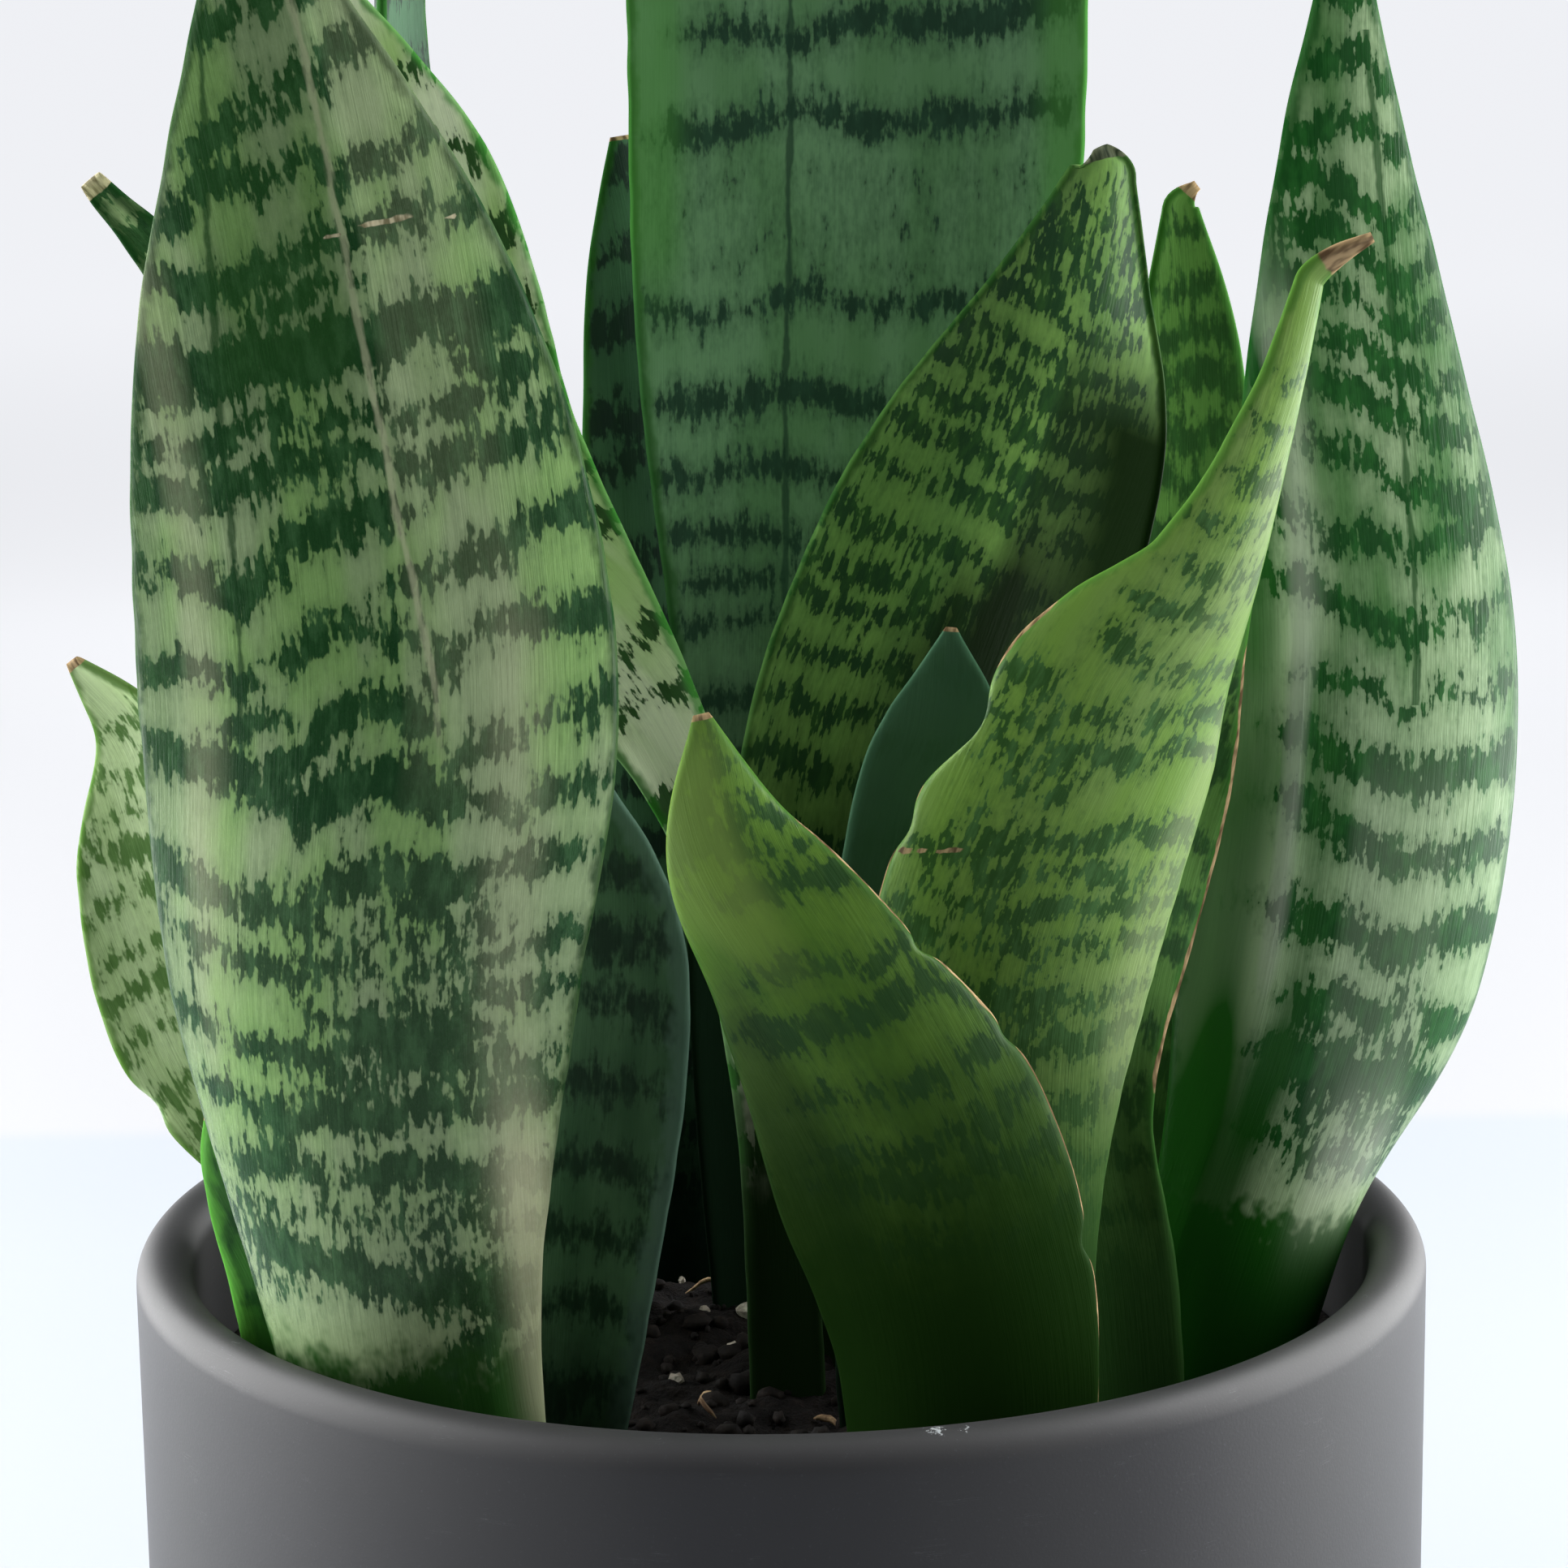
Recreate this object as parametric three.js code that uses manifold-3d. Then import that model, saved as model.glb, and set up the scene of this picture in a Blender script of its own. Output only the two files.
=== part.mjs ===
// A potted ceylon bowstring hemp: a round ceramic pot, its soil and sixteen stiff upright leaves.
// Millimetres, +Z up, -Y towards the camera, the middle of the pot's foot at the origin.
import * as THREE from "three";
import ManifoldModule from "manifold-3d";

const wasm = await ManifoldModule();
wasm.setup();
const { Manifold, Mesh } = wasm;

// Pot
const POT_RADIUS = 75;
const POT_HEIGHT = 140;
const WALL = 6.6;
const FLOOR = 8;
const FOOT_ROUND = 2;
const POT_SIDES = 64;
const RIM_STEPS = 6;

// Soil
const SOIL_TOP = 122;
const SOIL_RELIEF = 1.2;
const SOIL_RINGS = 5;
const HOLE_DEPTH = 0.004;
const HOLE_SHARE = 0.35;
const GAP = 0.3;

// Leaves
const ACROSS = 6;
const ALONG = 16;
const MIDDLE_THICKNESS = 2.8;
const EDGE_THICKNESS = 1.1;
const TIP_THICKNESS = 0.9;
const WAVE_SKEW = 0.23;

const COLOURS = { pot: 0x3a3a3c, soil: 0x2a211b, green: 0x3f7a3c, dark: 0x28483a, light: 0x7f9f45 };

// Each row of a leaf is one station from its root to its tip:
// x, y, z of the middle of the blade, its width measured round the blade,
// the direction in degrees that its inner face looks in (-90 is the camera, 90 is away from it),
// and the angle in degrees by which each edge is bent towards that face.
// A wave of the edges is its height, its number of turns from root to tip and where it starts.
const LEAVES = {
  front_left_leaf: {
    colour: "green",
    rows: [
      [-37, -42, 104, 28, 72, 50],
      [-42, -48, 143, 35, 80, 48],
      [-43, -53, 181, 47, 85, 36],
      [-40.5, -55, 217, 51, 90, 24],
      [-44.5, -51, 255, 38.5, 95, 16],
      [-52.5, -45, 298, 2, 95, 14],
    ],
  },
  left_leaning_leaf: {
    colour: "green",
    wave: [1, 2.5, 0.5],
    rows: [
      [1, -9, 104, 10, -80, 40],
      [-1.5, -11, 162, 9, -95, 35],
      [-12.5, -13, 201, 11.5, -90, 25],
      [-38, -16, 235, 35, -85, 20],
      [-45, -22, 263, 32, -80, 18],
      [-52, -32, 294, 2, -80, 15],
    ],
  },
  back_left_tall_leaf: {
    colour: "dark",
    rows: [
      [-24, 14, 104, 18, -40, 30],
      [-22, 20, 155, 14, -30, 25],
      [-30, 25, 195, 14, -25, 25],
      [-38, 29, 237, 15, -20, 25],
      [-44, 32, 276, 16, -15, 25],
      [-40, 32, 309, 13, -15, 25],
      [-35, 34, 335, 2, -15, 25],
    ],
  },
  left_hooked_leaf: {
    colour: "green",
    rows: [
      [-38, 12, 104, 20, -80, 30],
      [-50, 14, 158, 23, -85, 30],
      [-56, 13, 197, 22, -85, 25],
      [-60, 13, 228, 14, -85, 25],
      [-66.5, 8, 249, 7.5, -80, 30],
      [-76, 4, 262, 3, -80, 30],
    ],
  },
  left_leaf: {
    colour: "light",
    wave: [1, 2, 0.3],
    rows: [
      [-47, -12, 104, 22, -70, 40],
      [-52, -8, 147, 24, -100, 40],
      [-61, -8, 167, 31, -105, 35],
      [-67, -9, 186, 25, -110, 30],
      [-71, -11, 201, 12, -110, 25],
      [-78, -12, 210, 2, -110, 25],
    ],
  },
  left_scale_leaf: {
    colour: "dark",
    rows: [
      [-50, -27, 104, 12, -75, 40],
      [-54, -31, 138, 12, -100, 30],
      [-58, -31, 150, 9, -105, 25],
      [-61, -32, 157, 5, -110, 20],
      [-62, -32, 163, 1.5, -110, 20],
    ],
  },
  tall_back_leaf: {
    colour: "dark",
    rows: [
      [8, 26, 104, 34, -90, 50],
      [6, 27, 152, 36, -90, 40],
      [9, 29, 198, 43, -90, 25],
      [10, 31, 237, 52, -92, 15],
      [11, 34, 275, 55, -92, 12],
      [11, 37, 315, 54, -94, 12],
      [11, 41, 355, 47, -96, 14],
      [12, 45, 392, 29, -98, 15],
      [13, 47, 426, 2, -98, 15],
    ],
  },
  dark_back_leaf: {
    colour: "dark",
    rows: [
      [-16, 32, 104, 20, 90, 40],
      [-12, 32, 158, 20, 100, 35],
      [-13, 34, 198, 21, 110, 30],
      [-14, 36, 232, 18, 120, 30],
      [-15, 37, 251, 14, 125, 25],
      [-17, 38, 264, 4, 125, 25],
    ],
  },
  cupped_leaf: {
    colour: "light",
    wave: [1, 2, 0.2],
    rows: [
      [14, 2, 104, 26, -90, 60],
      [12, 4, 150, 28, -95, 52],
      [15, 6, 186, 42, -105, 48],
      [23, 9, 210, 43, -110, 45],
      [32, 9, 233, 34, -110, 40],
      [36.5, 8, 251, 18, -110, 40],
      [39, 6, 264, 6, -110, 40],
    ],
  },
  young_leaf: {
    colour: "dark",
    rows: [
      [12, -18, 104, 10, -90, 30],
      [11, -15, 160, 13, -90, 30],
      [15, -12, 188, 15, -90, 25],
      [19, -11, 201, 14, -90, 20],
      [20, -10, 212, 1.5, -90, 20],
    ],
  },
  right_leaning_leaf: {
    colour: "light",
    rows: [
      [27, -24, 104, 22, 90, 50],
      [25, -27.5, 142, 24, 95, 45],
      [26, -29, 176, 34, 95, 35],
      [36.8, -28, 204, 30, 105, 30],
      [47.5, -26, 221, 15, 115, 25],
      [54.5, -25, 239, 7, 120, 20],
      [59, -24, 256, 3, 120, 20],
    ],
  },
  front_leaf: {
    colour: "light",
    wave: [0.9, 2, 0.6],
    rows: [
      [18, -49, 104, 24, 90, 45],
      [19.8, -50, 137, 30, 86, 36],
      [13.8, -50, 162, 32.5, 86, 28],
      [4, -48, 181, 23.5, 88, 25],
      [-4.3, -46, 195, 15.7, 92, 25],
      [-7.5, -43, 209, 2, 92, 25],
    ],
  },
  shaded_leaf: {
    colour: "dark",
    rows: [
      [-28, -26, 104, 13, -80, 40],
      [-25.5, -25, 139, 23, -85, 35],
      [-23, -25, 168, 27, -80, 30],
      [-22, -26, 186, 22, -80, 25],
      [-22, -28, 204, 2, -80, 25],
    ],
  },
  right_leaf: {
    colour: "green",
    rows: [
      [46, -4, 104, 24, 90, 50],
      [56, -7, 140, 28, 105, 45],
      [64.5, -10, 170, 40, 100, 40],
      [68, -8, 206, 38, 100, 30],
      [66, -2, 242, 25, 100, 20],
      [64.8, 2, 267, 14, 100, 15],
      [65, 4, 291, 2, 100, 15],
    ],
  },
  wavy_leaf: {
    colour: "light",
    wave: [1.2, 2.5, 0.1],
    rows: [
      [41, -14, 104, 12, -75, 35],
      [39, -12.5, 134, 14, -80, 30],
      [36, -13, 158, 13, -80, 30],
      [40, -13, 182, 18, -72, 30],
      [46, -12, 202, 13, -68, 25],
      [53, -12, 217, 2, -68, 25],
    ],
  },
  right_back_leaf: {
    colour: "dark",
    rows: [
      [34, 26, 104, 22, -90, 40],
      [42, 28, 153, 23, -85, 35],
      [48, 30, 192, 23, -85, 30],
      [50, 31, 222, 17, -85, 25],
      [50, 32, 241, 12, -85, 20],
      [49, 32, 258, 3, -85, 20],
    ],
  },
};

const radians = (degrees) => (degrees * Math.PI) / 180;

// The value at t (0 at the root, 1 at the tip) of a smooth curve through one column of a leaf's rows.
function along(rows, column, t) {
  const last = rows.length - 1;
  const place = t * last;
  const i = Math.min(Math.max(Math.floor(place), 0), last - 1);
  const f = place - i;
  const slope = (k) => {
    const low = Math.max(k - 1, 0);
    const high = Math.min(k + 1, last);
    return (rows[high][column] - rows[low][column]) / (high - low);
  };
  const start = rows[i][column] * (2 * f ** 3 - 3 * f ** 2 + 1);
  const end = rows[i + 1][column] * (3 * f ** 2 - 2 * f ** 3);
  return start + end + slope(i) * (f ** 3 - 2 * f ** 2 + f) + slope(i + 1) * (f ** 3 - f ** 2);
}

// The middle of the blade at t, with its three directions: up the blade, inwards and across.
function bladeFrame(rows, t) {
  const step = 0.001;
  const point = (s) => new THREE.Vector3(along(rows, 0, s), along(rows, 1, s), along(rows, 2, s));
  const up = point(t + step).sub(point(t - step)).normalize();
  const turn = radians(along(rows, 4, t));
  const inward = new THREE.Vector3(Math.cos(turn), Math.sin(turn), 0);
  inward.addScaledVector(up, -inward.dot(up)).normalize();
  const across = new THREE.Vector3().crossVectors(up, inward);
  return { origin: point(t), inward, across };
}

// A point of the blade: u runs from edge to edge (-1 to 1), side is 1 on the inner face and -1 on
// the outer, and spare is added all round for the hole that the blade stands in.
function bladePoint({ rows, wave = [0, 1, 0] }, t, u, side, spare) {
  const { origin, inward, across } = bladeFrame(rows, t);
  const half = Math.max(along(rows, 3, t), 1.5) / 2 + spare;
  const cup = radians(along(rows, 5, t));
  const radius = half / cup;
  const bend = cup * u;
  const middle = MIDDLE_THICKNESS + (TIP_THICKNESS - MIDDLE_THICKNESS) * t ** 3;
  const thick = (EDGE_THICKNESS + (middle - EDGE_THICKNESS) * (1 - u * u)) / 2 + spare;
  const [height, turns, start] = wave;
  const phase = 2 * Math.PI * (turns * t + start + WAVE_SKEW * Math.sign(u));
  const lift = height * Math.abs(u) ** 3 * Math.sin(phase) * Math.sin(Math.PI * Math.min(Math.max(t, 0), 1));
  return origin
    .addScaledVector(across, radius * Math.sin(bend) - side * thick * Math.sin(bend))
    .addScaledVector(inward, lift + radius * (1 - Math.cos(bend)) + side * thick * Math.cos(bend));
}

// A closed blade between two values of t, its two faces split into triangles alike.
function bladeGeometry(leaf, from, to, steps, spare) {
  const points = [];
  const faces = [];
  const row = ACROSS + 1;
  const index = (i, j, side) => (side * (steps + 1) + i) * row + j;
  for (const side of [-1, 1]) {
    for (let i = 0; i <= steps; i++) {
      for (let j = 0; j <= ACROSS; j++) {
        const t = from + ((to - from) * i) / steps;
        points.push(bladePoint(leaf, t, (2 * j) / ACROSS - 1, side, spare));
      }
    }
  }
  const quad = (a, b, c, d) => faces.push(a, b, c, a, c, d);
  for (let i = 0; i < steps; i++) {
    for (let j = 0; j < ACROSS; j++) {
      const [a, b, c, d] = [index(i, j, 0), index(i, j + 1, 0), index(i + 1, j + 1, 0), index(i + 1, j, 0)];
      const back = (steps + 1) * row;
      faces.push(a, c, b, a, d, c);
      faces.push(a + back, b + back, c + back, a + back, c + back, d + back);
    }
    quad(index(i, 0, 0), index(i, 0, 1), index(i + 1, 0, 1), index(i + 1, 0, 0));
    quad(index(i, ACROSS, 1), index(i, ACROSS, 0), index(i + 1, ACROSS, 0), index(i + 1, ACROSS, 1));
  }
  for (let j = 0; j < ACROSS; j++) {
    quad(index(0, j, 0), index(0, j + 1, 0), index(0, j + 1, 1), index(0, j, 1));
    quad(index(steps, j, 1), index(steps, j + 1, 1), index(steps, j + 1, 0), index(steps, j, 0));
  }
  const geometry = new THREE.BufferGeometry();
  geometry.setAttribute("position", new THREE.Float32BufferAttribute(points.flatMap((p) => p.toArray()), 3));
  geometry.setIndex(faces);
  return geometry;
}

function solidOf(geometry) {
  const vertProperties = new Float32Array(geometry.attributes.position.array);
  const triVerts = new Uint32Array(geometry.index.array);
  const mesh = new Mesh({ numProp: 3, vertProperties, triVerts });
  mesh.merge();
  return new Manifold(mesh);
}

function geometryOf(solid) {
  const mesh = solid.getMesh();
  const geometry = new THREE.BufferGeometry();
  geometry.setAttribute("position", new THREE.Float32BufferAttribute(mesh.vertProperties, mesh.numProp));
  geometry.setIndex([...mesh.triVerts]);
  return geometry;
}

// The pot's outline, from the middle of the foot round the wall to the middle of the floor.
function potGeometry() {
  const rim = WALL / 2;
  const outline = [
    [0, 0],
    [POT_RADIUS - FOOT_ROUND, 0],
    [POT_RADIUS - FOOT_ROUND * 0.3, FOOT_ROUND * 0.3],
    [POT_RADIUS, FOOT_ROUND],
    [POT_RADIUS, POT_HEIGHT / 2],
  ];
  for (let i = 0; i <= RIM_STEPS; i++) {
    const angle = (Math.PI * i) / RIM_STEPS;
    outline.push([
      POT_RADIUS - rim + rim * Math.cos(angle),
      POT_HEIGHT - rim + rim * Math.sin(angle),
    ]);
  }
  outline.push([POT_RADIUS - WALL, FLOOR], [0, FLOOR]);
  const points = outline.map(([radius, height]) => new THREE.Vector2(radius, height));
  return new THREE.LatheGeometry(points, POT_SIDES).rotateX(Math.PI / 2);
}

// The soil's surface height: low lumps that run out flat at the pot's wall.
function soilHeight(x, y, share) {
  const lumps = Math.sin(0.21 * x + 1) * Math.cos(0.17 * y) + 0.6 * Math.sin(0.37 * y - 0.29 * x);
  return SOIL_TOP + SOIL_RELIEF * lumps * (1 - share ** 4);
}

function soilGeometry() {
  const radius = POT_RADIUS - WALL - GAP;
  const points = [new THREE.Vector3(0, 0, soilHeight(0, 0, 0)), new THREE.Vector3(0, 0, FLOOR + GAP)];
  const faces = [];
  const angleStep = (2 * Math.PI) / POT_SIDES;
  const at = (ring, k) => 2 + ring * POT_SIDES + (k % POT_SIDES);
  for (let ring = 0; ring <= SOIL_RINGS; ring++) {
    const share = ring < SOIL_RINGS ? (ring + 1) / SOIL_RINGS : 1;
    for (let k = 0; k < POT_SIDES; k++) {
      const x = radius * share * Math.cos(k * angleStep);
      const y = radius * share * Math.sin(k * angleStep);
      points.push(new THREE.Vector3(x, y, ring < SOIL_RINGS ? soilHeight(x, y, share) : FLOOR + GAP));
    }
  }
  for (let k = 0; k < POT_SIDES; k++) {
    faces.push(0, at(0, k), at(0, k + 1));
    faces.push(1, at(SOIL_RINGS, k + 1), at(SOIL_RINGS, k));
    for (let ring = 0; ring < SOIL_RINGS; ring++) {
      faces.push(at(ring, k), at(ring + 1, k), at(ring + 1, k + 1));
      faces.push(at(ring, k), at(ring + 1, k + 1), at(ring, k + 1));
    }
  }
  const geometry = new THREE.BufferGeometry();
  geometry.setAttribute("position", new THREE.Float32BufferAttribute(points.flatMap((p) => p.toArray()), 3));
  geometry.setIndex(faces);
  return geometry;
}

function addPiece(group, name, geometry, colour) {
  geometry.deleteAttribute("uv");
  geometry.deleteAttribute("normal");
  geometry.computeVertexNormals();
  const material = new THREE.MeshStandardMaterial({ color: COLOURS[colour], roughness: 0.6 });
  const mesh = new THREE.Mesh(geometry, material);
  mesh.name = name;
  group.add(mesh);
}

const group = new THREE.Group();
addPiece(group, "pot", potGeometry(), "pot");

let soil = solidOf(soilGeometry());
for (const [name, leaf] of Object.entries(LEAVES)) {
  addPiece(group, name, bladeGeometry(leaf, 0, 1, ALONG, 0), leaf.colour);
  soil = soil.subtract(holeOf(leaf));
}
addPiece(group, "soil", geometryOf(soil), "soil");

// The plain hole that a leaf stands in: its own section with a gap all round, run out above the soil.
function holeOf(leaf) {
  return solidOf(bladeGeometry(leaf, -HOLE_DEPTH, HOLE_SHARE, Math.ceil(ALONG * HOLE_SHARE), GAP));
}

export default group;
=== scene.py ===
"""The looks of a potted ceylon bowstring hemp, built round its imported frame.

Sixteen stiff banded leaves stand in dark soil in a matt dark grey pot. Leaf sizes are in
millimetres in the same rows as the part's source, and the meshes are made in metres.
"""
import logging
import math
from dataclasses import dataclass
from enum import Enum
from functools import reduce

import bpy
import numpy as np
from mathutils import Matrix, Vector


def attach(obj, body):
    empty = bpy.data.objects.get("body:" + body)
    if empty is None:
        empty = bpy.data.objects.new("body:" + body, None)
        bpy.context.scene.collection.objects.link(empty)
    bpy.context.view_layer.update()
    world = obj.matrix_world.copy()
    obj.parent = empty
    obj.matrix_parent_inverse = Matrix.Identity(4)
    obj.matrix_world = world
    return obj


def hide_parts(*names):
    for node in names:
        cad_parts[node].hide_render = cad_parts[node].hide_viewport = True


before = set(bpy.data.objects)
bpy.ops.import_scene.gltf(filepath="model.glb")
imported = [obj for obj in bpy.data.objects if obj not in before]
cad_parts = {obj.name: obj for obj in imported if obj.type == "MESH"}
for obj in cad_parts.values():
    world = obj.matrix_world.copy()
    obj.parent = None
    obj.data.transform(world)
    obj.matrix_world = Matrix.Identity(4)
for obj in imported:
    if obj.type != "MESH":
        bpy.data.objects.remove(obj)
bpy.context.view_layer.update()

LOG = logging.getLogger("potted_plant")
MM = 0.001
ROOT_BODY = "root"

# Pot and soil, as in the part's source
POT_RADIUS = 75.0
POT_HEIGHT = 140.0
WALL = 6.6
FLOOR = 8.0
SOIL_TOP = 122.0
SOIL_RELIEF = 1.2
GAP = 0.3

# Blades, as in the part's source
MIDDLE_THICKNESS = 2.8
EDGE_THICKNESS = 1.1
TIP_THICKNESS = 0.9
WAVE_SKEW = 0.23
SMALLEST_WIDTH = 1.5

# Unevenness of a blade's edges and faces, in millimetres, and the share of its length that
# the rounding of its tip takes
EDGE_UNEVEN = 0.125
EDGE_PITCH = 9.0
SWELL_PITCH = (40.0, 45.0)
TIP_ROUND = 0.015

# Marks on a leaf, in millimetres: a place far from any band, a line that isn't there, how far each
# noise moves a band's edge, where the skin is darker round a band, and how softly the painted shade
# at its foot begins
NO_BAND = -6.0
NO_LINE = 50.0
BAND_SWING = {"teeth": 4.2, "tufts": 2.4, "drifts": 2.4, "dots": 1.9}
HALO_RANGE = (-3.2, 0.4)
LOW_FADE = 14.0
FOOT_SWING = 7.0

# Colours that all leaves share: the fine lengthwise streaks, and the painted highlight along a fold
STREAK = "#0f2a18"
FOLD_HIGHLIGHT = "#bdc49c"

# Share of the light that a leaf's clean skin mirrors, and its dull places
SKIN_SHINE = 0.2
DULL_SHINE = 0.03

# Sockets of a mix node that mixes colours: its factor and its two colours, and its result
MIX_INPUTS = (0, 6, 7)
MIX_RESULT = 2


def linear(code: str) -> tuple[float, float, float, float]:
    """Turns a screen colour into the linear colour that shaders take, by the usual screen curve.

    Args:
        code: The colour as #rrggbb.

    Returns:
        Red, green, blue and alpha, from 0 to 1.
    """
    parts = [int(code[i : i + 2], 16) / 255 for i in (1, 3, 5)]
    values = [p / 12.92 if p <= 0.04045 else ((p + 0.055) / 1.055) ** 2.4 for p in parts]
    return (*values, 1.0)


def smooth_curve(values: np.ndarray, t: np.ndarray) -> np.ndarray:
    """Reads a smooth curve that passes through evenly spaced values.

    Between two values it is the cubic whose slopes at both are those of the line through
    their neighbours.

    Args:
        values: One row for each station.
        t: Places along the curve, 0 at the first station and 1 at the last.

    Returns:
        One row for each place.
    """
    last = len(values) - 1
    place = np.asarray(t, float) * last
    i = np.clip(np.floor(place).astype(int), 0, last - 1)
    f = (place - i)[:, None]
    low = np.maximum(np.arange(last + 1) - 1, 0)
    high = np.minimum(np.arange(last + 1) + 1, last)
    slope = (values[high] - values[low]) / (high - low)[:, None]
    ends = values[i] * (2 * f**3 - 3 * f**2 + 1) + values[i + 1] * (3 * f**2 - 2 * f**3)
    return ends + slope[i] * (f**3 - 2 * f**2 + f) + slope[i + 1] * (f**3 - f**2)


def ripple(x: np.ndarray, y: np.ndarray, seed: int, count: int = 5) -> np.ndarray:
    """Gives smooth unevenness from -1 to 1: the mean of a few seeded sine waves.

    Args:
        x: First coordinate, in waves.
        y: Second coordinate, in waves.
        seed: Chooses the waves' directions and starts.
        count: Number of waves.

    Returns:
        The unevenness, shaped as x and y together.
    """
    draw = np.random.default_rng(seed)
    total = np.zeros(np.broadcast(x, y).shape)
    for _ in range(count):
        angle, start = draw.uniform(0, 2 * math.pi, 2)
        pitch = draw.uniform(0.6, 1.6)
        wave = math.cos(angle) * x + math.sin(angle) * y
        total += np.sin(2 * math.pi * pitch * wave + start)
    return total / count


def past(value: np.ndarray, low: float, high: float) -> np.ndarray:
    """Gives how far each value lies outside a range, and 0 inside it."""
    return np.maximum(np.maximum(low - value, value - high), 0)


def within(value: np.ndarray, low: float, high: float, rise: float, fall: float) -> np.ndarray:
    """Rises evenly from 0 at the low end to 1 after the rise, and falls to 0 before the high end."""
    return np.clip((value - low) / rise, 0, 1) * np.clip((high - value) / fall, 0, 1)


def ring_walls(rings: int, sides: int) -> list:
    """Numbers the four-cornered faces between rings of corners that are joined in order.

    Args:
        rings: Number of rings.
        sides: Corners in a ring.

    Returns:
        The faces.
    """
    i, j = np.meshgrid(np.arange(rings - 1), np.arange(sides), indexing="ij")
    k = (j + 1) % sides
    walls = np.stack([i * sides + j, i * sides + k, (i + 1) * sides + k, (i + 1) * sides + j], axis=-1)
    return walls.reshape(-1, 4).tolist()


def turned_faces(rings: int, sides: int) -> list:
    """Numbers the faces of rings of corners that are closed at both ends.

    The corner after the last ring closes the first ring, and the one after it the last ring.

    Args:
        rings: Number of rings.
        sides: Corners in a ring.

    Returns:
        The faces.
    """
    j = np.arange(sides)
    k = (j + 1) % sides
    top = (rings - 1) * sides
    start = np.stack([k, j, np.full(sides, rings * sides)], axis=1)
    end = np.stack([top + j, top + k, np.full(sides, rings * sides + 1)], axis=1)
    return ring_walls(rings, sides) + start.tolist() + end.tolist()


def repeated(faces: list, count: int, size: int) -> list:
    """Numbers the faces of several copies that have the given count of corners each."""
    return [[corner + i * size for corner in face] for i in range(count) for face in faces]


def make_mesh(name: str, points: np.ndarray, faces: list, smooth: bool = True) -> bpy.types.Object:
    """Makes a mesh object at the origin.

    Args:
        name: The object's name.
        points: Corners in millimetres.
        faces: Corner numbers of each face.
        smooth: True for smooth shading.

    Returns:
        The linked object.
    """
    mesh = bpy.data.meshes.new(name)
    mesh.from_pydata((points * MM).tolist(), [], faces)
    mesh.polygons.foreach_set("use_smooth", np.full(len(mesh.polygons), smooth))
    mesh.validate()
    mesh.update()
    piece = bpy.data.objects.new(name, mesh)
    bpy.context.scene.collection.objects.link(piece)
    return piece


def set_attribute(piece: bpy.types.Object, name: str, values: np.ndarray) -> None:
    """Stores three numbers for each corner of a mesh under a name.

    Args:
        piece: The mesh object.
        name: The attribute's name.
        values: Three numbers for each corner, in the corners' order.
    """
    layer = piece.data.attributes.new(name, "FLOAT_VECTOR", "POINT")
    layer.data.foreach_set("vector", np.asarray(values, np.float32).ravel())


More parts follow.
